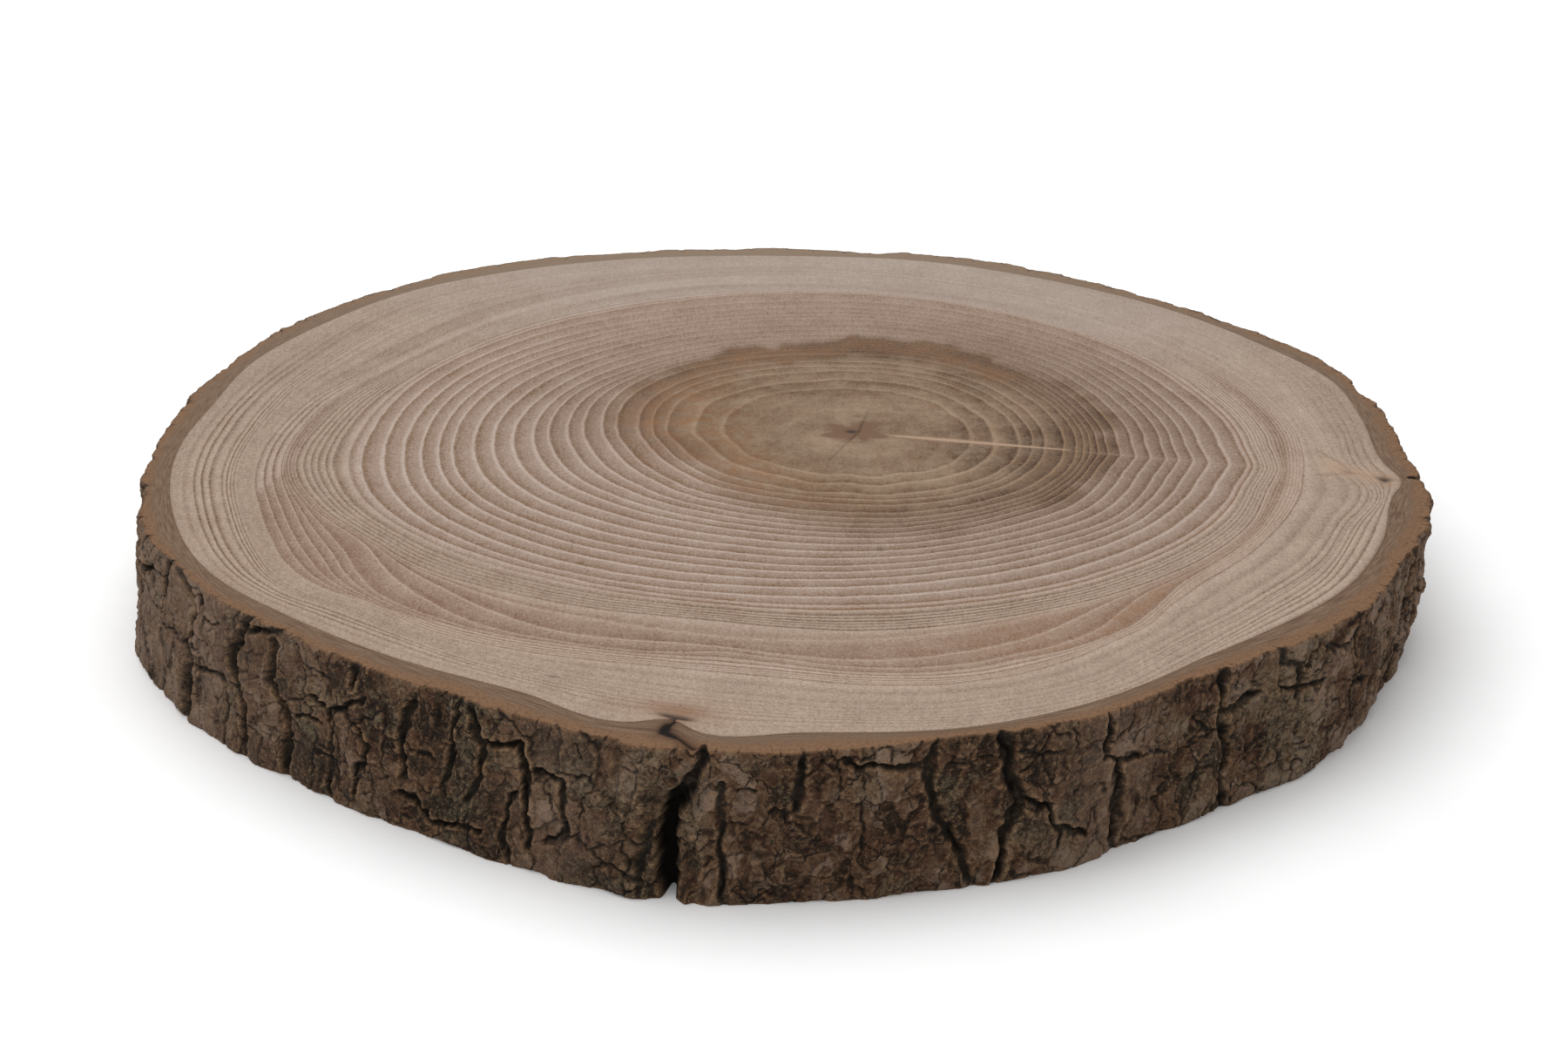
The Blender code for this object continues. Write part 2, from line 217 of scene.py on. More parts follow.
# Ochre patches of the heart: angle, half width, strength, radius and half depth
OCHRE_PATCHES = ((160, 30, 0.8, 52.0, 11.0), (232, 52, 0.32, 43.0, 13.0))

# Cream patches round the pith: angle, half width, strength, and the radii where each
# opens, is full, closes and is shut
CREAM_PATCHES = ((275, 44, 0.5, (4.5, 7.5, 13.0, 19.0)), (180, 60, 0.22, (5.0, 8.0, 16.0, 24.0)))

# Drying cracks through the pith: angle, half width and the radius where each stops
PITH_CRACKS = ((246.0, 0.34, 20.0), (78.0, 0.32, 14.0))

# The pale ray to the right: its angle, its half width by radius, and its trail's angle
RAY_ANGLE = 348.9
RAY_RADII = (8.0, 20.0, 30.0, 52.0)
RAY_WIDTHS = (0.35, 0.95, 0.85, 0.3)
TRAIL_ANGLE = 348.4

# Small dark spots: angle, radius, half widths across and along, and how dark
DARK_SPOTS = ((273.0, 67.0, 0.8, 0.8, 0.6), (236.85, 146.1, 0.3, 0.7, 0.8),
              (242.9, 145.2, 0.4, 0.35, 0.8))

# Columns of the disc, close together at the ingrown spots: start, stop and count
DISC_COLUMNS = ((0.0, 250.0, 350), (250.0, 259.0, 40), (259.0, 343.0, 118), (343.0, 355.0, 42),
                (355.0, 360.0, 7))

# Rows of the disc's top, by ring age: start, stop and step; its underside has few
DISC_ROWS = ((-5.9, -4.5, 0.1), (-4.5, 0.0, 0.5), (0.0, 33.0, 1 / 3), (33.0, 41.0, 0.5),
             (41.0, LAST_AGE + 0.1, 0.2))
UNDERSIDE_ROWS = 18

# Grid of a quarter of the bark: columns, and rows of the side, the rim and the underside
BARK_COLUMNS = 640
SIDE_ROWS = 108
RIM_ROWS = 22
UNDER_ROWS = 6
CAMBIUM_SAMPLES = 2880

# The stage, in metres but for the sensor and the target, which are in millimetres
FLOOR_HALF_SIDE = 6.0
SOFTBOX_SIZE = (1.6, 1.2)
SOFTBOX_PLACE = (-0.25, 0.1, 1.3)
SENSOR_WIDTH = 36.0
CAMERA_TARGET = (1.96, 37.35, 0.0)

# Bark relief
SWELL = 0.9
SWELL_WIDTH = 15.0
RAGGED = 0.55
RAGGED_WIDTH = 5.5
VALLEY_DEPTH_SHARE = 0.62
SAWN_EDGE_WEAR = 0.35
SAWN_EDGE_HEIGHT = 1.2

# Scales of the bark in three sizes: width, height and seed
SCALES = ((8.0, 11.0, 41), (4.2, 5.6, 42), (1.9, 2.3, 48))

# Routes no wider than this are hairlines, a crack without a valley
HAIRLINE_WIDTH = 1.3

# Places along the bark, each a middle angle, a half width and a strength: where it
# lies in broad calm plates, and where its plates are greyer
CALM_PLACES = ((206, 17, 1.0), (298, 4.5, 0.8), (252, 5, 0.7))
GREY_PLACES = ((202, 16, 0.4), (319, 5, 0.3), (338, 22, 0.28))

# The rim starts a little inside the cambium, so that no gap shows, and lies just
# below the wood's face
RIM_INSET = 0.3
RIM_DROP = 0.05

# Fissures of the front: a width, then the route as angle and height
FRONT_FISSURES = (
    (2.2, (204.4, 36), (202.4, 33), (202.1, 29), (202.2, 23), (201.4, 16), (201.9, 10), (202.1, -1)),
    (3.0, (205.2, 34), (208.2, 28), (208.3, 22), (207.3, 20), (208.6, 16), (207.7, 9), (207.6, -1)),
    (2.4, (217.1, 36), (216.4, 32), (215.2, 26), (215.4, 18), (216.9, 14), (216.8, -1)),
    (1.7, (217.0, 32), (219.0, 33), (221.9, 36)),
    (1.5, (209.4, 16), (213.5, 16), (214.0, 11), (214.1, -1)),
    (3.0, (220.2, 31), (220.1, 22), (221.6, 18), (222.2, 11), (222.2, -1)),
    (2.4, (230.7, 36), (230.6, 30)),
    (1.5, (225.5, 24), (227.5, 22), (229.4, 23), (230.4, 26), (232.2, 28)),
    (1.4, (227.5, 22), (228.3, 17), (227.6, 10), (228.0, -1)),
    (1.4, (229.4, 23), (232.0, 21), (232.5, 13), (231.2, 10), (231.2, 5)),
    (2.4, (236.9, 31), (236.0, 23), (236.4, 13)),
    (1.4, (222.8, 17), (226.8, 18)),
    (1.6, (235.9, 9), (238.2, 7), (239.8, 4), (242.8, 6), (245.0, 6)),
    (1.7, (242.1, 36), (241.5, 28), (240.9, 17), (240.8, 12)),
    (2.2, (243.2, 34), (243.4, 30), (244.9, 26), (244.3, 17), (243.2, 12)),
    (1.9, (244.9, 27), (248.3, 29), (248.9, 22), (249.4, 12), (249.7, 6)),
    (1.5, (248.0, 18), (247.0, 13), (247.2, 5), (247.8, -1)),
    (1.6, (249.6, 24), (252.5, 23), (253.2, 11), (251.2, 8)),
    (1.8, (260.6, 17), (259.8, 13), (259.6, 6), (259.9, -1)),
    (2.6, (264.0, 36), (263.5, 29)),
    (1.5, (265.6, 28), (265.8, 18), (266.4, 6), (266.6, -1)),
    (1.8, (271.8, 36), (271.6, 22)),
    (1.5, (275.0, 33), (276.2, 31), (278.8, 31), (281.6, 30)),
    (2.4, (282.4, 36), (282.2, 27), (283.0, 19), (285.3, 10), (287.2, -1)),
    (3.0, (288.1, 36), (289.2, 25), (290.0, 19), (289.3, 12), (288.8, -1)),
    (1.6, (290.5, 19), (292.6, 17), (293.2, 12), (296.7, 7)),
    (1.6, (297.3, 36), (297.7, 25), (299.4, 22), (301.9, 22)),
    (3.0, (299.5, 22), (300.0, 14), (300.4, -1)),
    (2.2, (309.9, 36), (310.9, 23), (311.5, 16), (311.9, 8), (312.3, -1)),
    (2.0, (310.9, 24), (314.8, 26)),
    (1.9, (316.7, 36), (317.1, 32), (319.1, 29), (319.6, 22)),
    (1.4, (317.1, 25), (319.8, 24), (323.0, 23)),
    (1.7, (322.2, 31), (325.3, 29), (326.9, 31), (326.8, 36)),
    (1.8, (326.9, 30), (327.4, 22), (327.3, 17), (330.6, 15)),
)

# Hairline cracks of the front, written the same way
FRONT_HAIRLINES = (
    (0.8, (197.7, 28), (199.8, 29.3), (202, 29.7)),
    (0.8, (195.3, 21.4), (197.7, 22.7), (199.2, 21.4), (202.1, 19.8)),
    (0.8, (202.8, 19.3), (206, 20.2), (208, 19.3)),
    (1.2, (209.4, 34.3), (209.3, 29.3), (210.7, 27.3), (212.5, 28.9)),
    (0.8, (214.5, 16.4), (216.4, 16.8)),
    (0.8, (215.4, 7.3), (217, 7.7)),
    (0.8, (222.6, 15), (224.9, 11.8), (227.1, 12.2)),
    (0.8, (226, 34.3), (226.8, 30.2)),
    (1.0, (233, 22.7), (234.6, 20.6), (236.2, 21), (238.2, 20.6), (239.8, 19.3)),
    (1.2, (239.7, 33.5), (239.8, 29.3), (240.6, 28.5)),
    (0.8, (250.9, 35), (250.9, 31)),
    (0.8, (253.5, 32.7), (254, 29.3)),
    (0.8, (254.9, 25.2), (255.1, 27.7)),
    (1.2, (256.7, 6.8), (258.7, 5.2), (260.3, 3.5)),
    (1.0, (266.5, 26.8), (268.4, 26.8)),
    (0.8, (265.3, 18.5), (269, 18.1), (269.9, 22.3), (271.3, 19.3), (272.6, 16.4), (273.9, 15.2)),
    (1.0, (269, 7.3), (271, 4.3), (273, 3.1)),
    (0.8, (273.3, 33.5), (274.3, 31)),
    (0.8, (278.3, 36), (278.8, 31)),
    (0.7, (276.5, 29.3), (276.7, 21.8), (277.2, 13.5), (276.9, 9.3), (278.3, 6)),
    (0.8, (283.4, 29.7), (285.6, 29.3), (287.4, 30.2)),
    (0.9, (291.8, 35.2), (293.8, 32.3)),
    (1.3, (290, 26), (291.5, 28.5), (293.4, 29.3)),
    (1.0, (295.7, 7.7), (296.7, 7.3), (297.7, 12.7), (298.3, 5.2)),
    (0.9, (294.1, 10), (294.1, 5.2), (293.4, 2.7)),
    (0.8, (298, 29), (300, 30)),
    (0.8, (300.1, 35.5), (300.3, 30.5), (300, 28.5)),
    (0.9, (302.3, 21.5), (305, 20), (305.6, 14.5), (307, 12), (308.5, 12.3)),
    (0.8, (306.4, 34.5), (306.8, 29.5), (307.4, 25.5), (310.5, 21)),
    (1.0, (315.2, 7), (319.1, 6.5), (321.4, 4.5)),
    (1.0, (323.7, 11.5), (324.1, 16), (325.3, 15.5)),
)

# The two clefts where bark grew into the trunk: width, depth, angle, height
FRONT_CLEFT = (
    (3.0, 2.8, 263.9, 36), (4.6, 3.4, 263.5, 31), (6.4, 5.4, 262.8, 26), (8.6, 8.5, 261.9, 21),
    (7.4, 9.5, 261.4, 16), (7.2, 9.0, 261.7, 9), (7.8, 8.5, 262.1, -1),
)
RIGHT_CLEFT = (
    (3.0, 3.4, 355.8, 36), (3.4, 4.4, 355.4, 20), (3.0, 3.6, 354.8, -1),
)

# The rift over the rim from the ingrown spot to the cleft: angle and radius, with its widths
INGROWN_RIFT = ((260.8, 133.5), (260.4, 137.5), (260.3, 140.5), (261.8, 143.0), (263.7, 148.0))
INGROWN_RIFT_WIDTHS = (0.9, 1.2, 2.7, 0.7, 0.9)

# Fissures of the rest of the trunk grow by rule, from seeded draws
GROWN_SPANS = ((-2.0, 199.0), (333.0, 352.0))
GROWN_SPACING = 5.6
GROWN_SEED = 37
HAIRLINE_SEED = 53
SWELL_SEED = 11
RAGGED_SEED = 12

# Quarters of the bark: name, then the angles where each starts and stops
QUARTERS = (
    ("bark_front", 221.2, 311.2),
    ("bark_right", 311.2, 405.0),
    ("bark_back", 45.0, 133.0),
    ("bark_left", 133.0, 221.2),
)


def linear(colour):
    """An sRGB hex colour as linear red, green, blue and alpha."""
    parts = [int(colour[i:i + 2], 16) / 255 for i in (1, 3, 5)]
    return [c / 12.92 if c <= 0.04045 else ((c + 0.055) / 1.055) ** 2.4 for c in parts] + [1.0]


def smooth(low, high, value):
    """0 up to low, 1 from high, and an S-shaped rise between."""
    t = np.clip((value - low) / (high - low), 0.0, 1.0)
    return t * t * (3 - 2 * t)


def away(angle, middle):
    """Degrees from the middle angle, from -180 to 180."""
    return (angle - middle + 180.0) % 360.0 - 180.0


def window(value, opens, full, closes, shut):
    """0 outside a range and 1 within it, with an S-shaped rise and fall."""
    return smooth(opens, full, value) * (1.0 - smooth(closes, shut, value))


def bell(value, middle, half_width):
    """1 at the middle value, falling as a bell to either side."""
    return np.exp(-((value - middle) / half_width) ** 2)


def hump(angle, middle, half_width):
    """1 at the middle angle, falling as a bell to either side."""
    return bell(away(angle, middle), 0.0, half_width)


def humps(angle, places):
    """Sum of humps, each place a middle angle, a half width and a strength."""
    return sum(strength * hump(angle, middle, half_width) for middle, half_width, strength in places)


def trough(distance, half_width):
    """1 along a route, with a flat floor and steep walls: exp(-(distance / half width)^4)."""
    return np.exp(-(distance / half_width) ** 4)


def rounded_reading(readings, angle):
    """Read a closed curve through (degrees, value) pairs, rounded between them.

    Each stretch is a cubic whose slope at a reading is that of the line
    between the readings on either side of it.
    """
    knots = np.array(readings, dtype=float)
    turn = np.array([360.0, 0.0])
    knots = np.vstack([knots[-2:] - turn, knots, knots[:3] + turn])
    at, value = knots[:, 0], knots[:, 1]
    slope = np.gradient(value, at)
    angle = angle % 360.0
    left = np.clip(np.searchsorted(at, angle, side="right") - 1, 0, len(at) - 2)
    span = at[left + 1] - at[left]
    t = (angle - at[left]) / span
    return ((2 * t**3 - 3 * t**2 + 1) * value[left] + (t**3 - 2 * t**2 + t) * span * slope[left]
            + (3 * t**2 - 2 * t**3) * value[left + 1] + (t**3 - t**2) * span * slope[left + 1])


def soft_noise(angle, height, width, seed, tall=None):
    """Smooth noise from -1 to 1, with lumps of about the width, closed round the trunk.

    Seeded values stand on a lattice, and each point blends the four round it.
    """
    tall = tall or width
    around = max(4, round(2 * math.pi * MEAN_RADIUS / width))
    up = math.ceil(THICKNESS / tall) + 3
    lattice = np.random.default_rng(seed).uniform(-1.0, 1.0, (around, up))
    u = (angle % 360.0) / 360.0 * around
    v = np.clip(height / tall + 1.0, 0.0, up - 1.001)
    i, j = np.floor(u).astype(int), np.floor(v).astype(int)
    s, t = u - i, v - j
    s, t = s * s * (3 - 2 * s), t * t * (3 - 2 * t)
    i, right = i % around, (i + 1) % around
    low = lattice[i, j] * (1 - s) + lattice[right, j] * s
    high = lattice[i, j + 1] * (1 - s) + lattice[right, j + 1] * s
    return low * (1 - t) + high * t


def layered_noise(angle, height, *layers):
    """Sum of soft noises, each layer a strength, a width and a seed."""
    return sum(strength * soft_noise(angle, height, width, seed) for strength, width, seed in layers)


def ring_noise(angle, age, width, seed, tall):
    """Soft noise that follows the rings, a ring being 0.7 mm of its height."""
    return soft_noise(angle, (age - PITH_AGE) * 0.7, width, seed, tall=tall)


def scales(angle, height, width, tall, seed):
    """Splits the side into scales round seeded points that stand near a lattice.

    Returns the distance to the nearest border in millimetres, and two random
    values from 0 to 1 that are the same all over a scale.
    """
    around = round(2 * math.pi * MEAN_RADIUS / width)
    up = math.ceil(THICKNESS / tall) + 4
    draw = np.random.default_rng(seed).uniform(0.0, 1.0, (around, up, 4))
    u = (angle % 360.0) / 360.0 * around
    v = np.clip(height / tall + 2.0, 1.0, up - 2.001)
    i, j = np.floor(u).astype(int), np.floor(v).astype(int)
    first = np.full(np.shape(u), 1e9)
    second = first.copy()
    value = np.zeros((2, *np.shape(u)))
    for di in (-1, 0, 1):
        for dj in (-1, 0, 1):
            seeded = draw[(i + di) % around, j + dj]
            du = i + di + 0.1 + 0.8 * seeded[..., 0] - u
            dv = j + dj + 0.1 + 0.8 * seeded[..., 1] - v
            far = np.hypot(du, dv)
            nearest = far < first
            second = np.where(nearest, first, np.minimum(second, far))
            first = np.where(nearest, far, first)
            value = np.where(nearest, np.moveaxis(seeded[..., 2:], -1, 0), value)
    return (second - first) * 0.5 * min(width, tall), value[0], value[1]


def grown_fissures():
    """Routes for the back and sides: wandering uprights with short links.

    Every GROWN_SPACING degrees or so an upright runs the full height or most
    of it, and between two uprights one or two cracks slant across.
    """
    draw = np.random.default_rng(GROWN_SEED)
    top = THICKNESS
    routes = []
    for start, stop in GROWN_SPANS:
        angle = start + draw.uniform(0.3, 0.7) * GROWN_SPACING
        while angle < stop:
            width = draw.uniform(1.4, 3.2)
            first = top + 1.0 if draw.random() < 0.8 else draw.uniform(0.7, 0.9) * top
            last = -1.0 if draw.random() < 0.8 else draw.uniform(0.1, 0.35) * top
            heights = np.linspace(first, last, 6)
            drift = np.cumsum(draw.normal(0.0, 0.55, 6))
            routes.append((width, *zip(angle + drift - drift.mean(), heights)))
            for _ in range(draw.integers(1, 3)):
                height = draw.uniform(0.12, 0.9) * top
                reach = GROWN_SPACING * draw.uniform(0.7, 1.1)
                middle = (angle + reach * 0.5, height + draw.normal(0.0, 1.5))
                end = (angle + reach, height + draw.normal(0.0, 3.0))
                routes.append((draw.uniform(1.2, 1.7), (angle, height), middle, end))
            angle += GROWN_SPACING * draw.uniform(0.7, 1.3)
    return routes


def grown_hairlines():
    """Seeded hairline cracks for the back and sides, most of them lying across."""
    draw = np.random.default_rng(HAIRLINE_SEED)
    routes = []
    for start, stop in GROWN_SPANS:
        for _ in range(int((stop - start) * 0.75)):
            angle, height = draw.uniform(start, stop), draw.uniform(1.0, THICKNESS)
            heading = draw.normal(0.0, 0.8)
            route = [(angle, height)]
            for _ in range(3):
                heading += draw.normal(0.0, 0.5)
                step = draw.uniform(1.2, 3.0)
                angle += step * math.cos(heading) / 2.6
                height += step * math.sin(heading)
                route.append((angle, height))
            routes.append((draw.uniform(0.7, 1.1), *route))
    return routes


def route_closeness(angle, height, route):
    """Distance in millimetres to a route, and how far along it the near point is."""
    points = np.array(route, dtype=float)
    middle = points[:, 0].mean()
    x = away(angle, middle) * PER_DEGREE
    px = (points[:, 0] - middle) * PER_DEGREE
    py = points[:, 1]
    best = np.full(np.shape(angle), 1e9)
    along = np.zeros(np.shape(angle))
    for k in range(len(points) - 1):
        dx, dy = px[k + 1] - px[k], py[k + 1] - py[k]
        t = np.clip(((x - px[k]) * dx + (height - py[k]) * dy) / (dx * dx + dy * dy), 0.0, 1.0)
        gap = np.hypot(x - px[k] - t * dx, height - py[k] - t * dy)
        nearer = gap < best
        best = np.where(nearer, gap, best)
        along = np.where(nearer, k + t, along)
    return best, along


def blurred(field, reach):
    """Mean of a grid over squares of 2 reach + 1 samples a side, its edge values carried on."""
    for axis in (0, 1):
        margin = [(reach + 1, reach) if a == axis else (0, 0) for a in (0, 1)]
        total = np.cumsum(np.pad(field, margin, mode="edge"), axis=axis)
        start = np.arange(field.shape[axis])
        field = np.take(total, start + 2 * reach + 1, axis=axis) - np.take(total, start, axis=axis)
        field = field / (2 * reach + 1)
    return field


def cut_routes():
    """Every fissure, hairline and cleft, as a width, a cleft's sizes and a route."""
    routes = [(width, None, np.array(route, dtype=float)) for width, *route in
              (*FRONT_FISSURES, *grown_fissures(), *FRONT_HAIRLINES, *grown_hairlines())]
    for cleft in (FRONT_CLEFT, RIGHT_CLEFT):
        sizes = np.array(cleft, dtype=float)
        routes.append((None, sizes, sizes[:, 2:]))
    return routes


def cleft_groove(distance, along, sizes, swing):
    """Depth, floor and crack of a cleft: a deep groove in a wide shallow one."""
    stations = np.arange(len(sizes))
    depth = np.interp(along, stations, sizes[:, 1])
    half = 0.26 * np.interp(along, stations, sizes[:, 0]) * swing
    crack = smooth(0.45, 0.8, depth / sizes[:, 1].max()) * trough(distance, half)
    groove = 0.72 * depth * trough(distance, half) + 0.28 * depth * trough(distance, 3.0 * half)
    return groove, 0.6 * trough(distance, 2.2 * half), crack


def fissure_groove(distance, slot, width, swing, gape):
    """Depth, floor and crack of a fissure, or of a hairline, which has no valley."""
    crack = bell(slot, 0.0, (0.2 + 0.08 * width) * swing)
    if width <= HAIRLINE_WIDTH:
        crack = crack * (0.4 + 0.6 * gape)
        return (0.35 + 0.3 * width) * crack, np.zeros(np.shape(crack)), crack
    crack = crack * gape
    valley = trough(distance, 0.5 * width * swing)
    return (0.35 + 0.3 * width) * crack + VALLEY_DEPTH_SHARE * width * valley, valley, crack


def fissure_cut(angle, height):
    """Depth that fissures, hairlines and clefts take off the side, with two masks.

    A fissure is a shallow valley with a thin crack that wanders in it and
    comes and goes. Noise moves the point that is asked about, so that walls
    come out jagged, and widens and narrows the valley along its way. Fissures
    run out shallow at the sawn faces. The masks are the floors and the cracks.
    """
    asked = angle + layered_noise(angle, height, (0.7, 2.8, 21), (0.36, 1.0, 22)) / PER_DEGREE
    level = height + layered_noise(angle, height, (0.6, 2.4, 23), (0.4, 1.1, 24))
    swing = 1.0 + layered_noise(angle, height, (0.4, 4.0, 25), (0.2, 1.6, 26))
    aside = layered_noise(angle, height, (0.9, 4.2, 27), (0.5, 1.5, 28)) / PER_DEGREE
    gape = smooth(-0.5, 0.2, layered_noise(angle, height, (1.0, 6.0, 29), (0.4, 2.2, 30)))
    run_out = 0.3 + 0.7 * smooth(0.0, 3.0, np.minimum(height, THICKNESS - height))
    result = np.zeros((3, *np.shape(angle)))
    for width, sizes, route in cut_routes():
        first, last = route[:, 0].min(), route[:, 0].max()
        reach = (last - first) / 2 + 5.0
        near = np.nonzero((np.abs(away(angle, (last + first) / 2)) < reach).any(axis=0))[0]
        if not len(near):
            continue
        distance, along = route_closeness(asked[:, near], level[:, near], route)
        if sizes is not None:
            parts = cleft_groove(distance, along, sizes, swing[:, near])
        else:
            slot = distance
            if width > HAIRLINE_WIDTH:
                slot = route_closeness(asked[:, near] + aside[:, near], level[:, near], route)[0]
            groove, *rest = fissure_groove(distance, slot, width, swing[:, near], gape[:, near])
            parts = (groove * run_out[:, near], *rest)
        result[:, :, near] = np.maximum(result[:, :, near], np.stack(parts))
    return result


def terraces(value, steps):
    """Turns smooth noise into flat layers with short steps between them."""
    scaled = value * steps
    base = np.floor(scaled)
    return (base + smooth(0.0, 0.16, scaled - base)) / steps


def plain_radius(angle, height):
    """Radius of the trunk over its plates, before anything is cut or flaked."""
    radius = rounded_reading(OUTLINE, angle)
    radius = radius + SWELL * soft_noise(angle, height, SWELL_WIDTH, SWELL_SEED)
    return radius + RAGGED * soft_noise(angle, height, RAGGED_WIDTH, RAGGED_SEED)


def bark_side(angle, height):
    """Radius of the bark and the masks its colours follow.

    The trunk's outline and swell carry layers that step like contours, scales
    of three sizes that each stand at their own height, crumbs, and the
    fissures that are cut in last. Calm places have less of the small relief.
    Hollows are where the side lies below its own blurred self, and ridges
    where it stands above. The colours paint shade into the hollows and a tan
    highlight onto the ridges.
    """
    bent = angle + layered_noise(angle, height, (1.2, 3.6, 31), (0.6, 1.3, 32)) / PER_DEGREE
    high = height + layered_noise(angle, height, (1.2, 3.2, 33), (0.6, 1.2, 34))
    lumps = soft_noise(bent, high, 8.5, 35, tall=11.0) + 0.5 * soft_noise(bent, high, 4.0, 36)
    layer = terraces(lumps, 3.4)
    edges, offsets, shades = zip(*(scales(bent, high, *size) for size in SCALES))
    crumbs = soft_noise(angle, height, 1.5, 43, tall=2.4)
    dust = soft_noise(angle, height, 0.75, 44)
    cut, floor, crack = fissure_cut(angle, height)
    # Painted shadow: a thin dark line along the borders of raised scales, a slight notch that the crack mask
    # paints black
    seam = np.maximum(0.45 * bell(edges[0], 0.0, 0.22) * (offsets[0] > 0.62),
                      0.3 * bell(edges[1], 0.0, 0.18) * (offsets[1] > 0.7))
    calm = np.clip(humps(angle, CALM_PLACES), 0.0, 1.0)
    relief = 0.8 * (offsets[1] - 0.5) + 0.4 * (offsets[2] - 0.5) + 0.16 * crumbs + 0.13 * dust
    relief = relief * (1.0 - 0.45 * calm) + 0.7 * layer + 0.9 * (offsets[0] - 0.5)
    edge_height = np.minimum(height, THICKNESS - height)
    relief = relief * (1.0 - 0.55 * floor) * (0.6 + 0.4 * smooth(0.0, 4.0, edge_height))
    wear = SAWN_EDGE_WEAR * (1.0 - np.clip(edge_height / SAWN_EDGE_HEIGHT, 0.0, 1.0)) ** 2
    radius = plain_radius(angle, height) + relief - seam * (1.0 - floor) - cut - wear
    standing = radius - blurred(radius, 3)
    broad = radius - blurred(radius, 9)
    plate = (0.37 + 0.5 * (shades[0] - 0.5)
             + (0.55 * (shades[1] - 0.5) + 0.3 * (shades[2] - 0.5)) * (1.0 - 0.5 * calm)
             + 0.4 * soft_noise(angle, height, 14.0, 45) + humps(angle, GREY_PLACES))
    bloom = (soft_noise(angle, height, 9.0, 46, tall=12.0) + 0.5 * soft_noise(angle, height, 2.5, 47)
             + 1.2 * hump(angle, 319.5, 4.5))
    masks = {
        # Painted shade: the fissure floors are painted near black from this mask
        "fissure": floor,
        "calm": calm,
        # Cracks are painted black here, and the seam lines with them as painted shadow
        "crack": np.clip(np.maximum(crack, seam / 0.5), 0.0, 1.0),
        # Painted shade: darkens the side where it lies below its blurred self, in hollows and beside fissures
        "hollow_shade_and_rift_stain": np.clip(-1.7 * standing - 0.22 * broad, 0.0, 1.0),
        # Painted highlight: lightens the side where it stands above its blurred self
        "ridge_highlight": np.clip(1.7 * standing - 0.1, 0.0, 1.0) * (1.0 - crack),
        "plate": np.clip(plate, 0.0, 1.0),
        "bloom": smooth(0.2, 0.9, bloom),
    }
    return radius, masks


def ring_curves(angle):
    """Radius of the pith and of each ring that has readings at the angles, one row a ring.

    Returns the rings' ages as well, in the rows' order.
    """
    curve = {PITH_AGE: np.zeros(np.shape(angle))}
    for age, readings in KEY_RINGS:
        curve[age] = rounded_reading(readings, angle)
    for age, shares in CRESCENT_RINGS:
        curve[age] = curve[24] + rounded_reading(shares, angle) * (curve[33] - curve[24])
    ages = sorted(curve)
    return ages, np.stack([curve[age] for age in ages])


def ring_radius(age, angle):
    """Radius round the pith of the ring of an age, for matching arrays of both.

    The age gives a place between two curves, and the radius is that share of
    the way between them. A low ridge runs out along the seam, where the rings
    have a corner, and slow noise keeps them from being too even.
    """
    ages, curves = ring_curves(angle)
    place = {known: float(row) for row, known in enumerate(ages)}
    for between, share in RINGS_BETWEEN.items():
        place[between] = np.searchsorted(ages, between) - 1 + share
    order = sorted(place)
    place = np.interp(age, order, [place[a] for a in order])
    row = np.clip(np.floor(place).astype(int), 0, len(curves) - 2)
    share = place - row
    inner = np.take_along_axis(curves, row[None], axis=0)[0]
    outer = np.take_along_axis(curves, row[None] + 1, axis=0)[0]
    radius = inner * (1 - share) + outer * share
    corner = np.clip(1.0 - np.abs(away(angle, CORNER_ANGLE)) / CORNER_REACH, 0.0, 1.0)
    radius = radius + 1.7 * corner * window(age, 3.0, 10.0, 23.0, 30.0)
    waver = ring_noise(angle, age, 26.0, 61, 6.0) + 0.5 * ring_noise(angle, age, 9.0, 62, 3.0)
    blotchy = ring_noise(angle, age, 36.0, 65, 2.0) * window(age, PITH_AGE, -3.0, -0.8, 1.2)
    return radius + 1.1 * blotchy + 0.25 * waver * window(age, PITH_AGE, 2.0, 40.0, LAST_AGE)


def ring_lines(age, angle, left, back, faded):
    """How strongly the dark line that ends a ring shows."""
    table = np.array(LINE_STRENGTHS)
    front_line, left_line, right_line = (np.interp(age, table[:, 0], table[:, side]) for side in (1, 2, 3))
    line = front_line + (left_line - front_line) * left
    line = line + (right_line - line) * smooth(0.0, 1.0, 1.2 * hump(angle, 335, 32))
    slow = 0.3 + 0.3 * ring_noise(angle, age, 60.0, 67, 1.5)
    line = line + (slow - line) * np.maximum(back, 0.85 * faded)
    line = line * (1.0 - 0.6 * hump(angle, 5, 24) * smooth(31.0, 34.0, age)) * (1.0 - 0.5 * faded)
    line = line * (1.0 - 0.4 * hump(angle, 225, 18) * (1.0 - smooth(24.0, 25.0, age)))
    return np.clip(line, 0, 1)


def ring_contrast(age, angle, back):
    """How far the broad rings go from pale to dark."""
    contrast = 1.0 - (0.25 + 0.47 * smooth(1.0, 6.0, age)) * back
    contrast = contrast * (0.12 + 0.88 * smooth(-2.7, -1.7, age)) * (1.0 - 0.2 * smooth(24.5, 25.5, age))
    return contrast * (1.0 - 0.5 * window(age, 24.5, 25.5, 25.6, 26.0) * hump(angle, 268, 22))


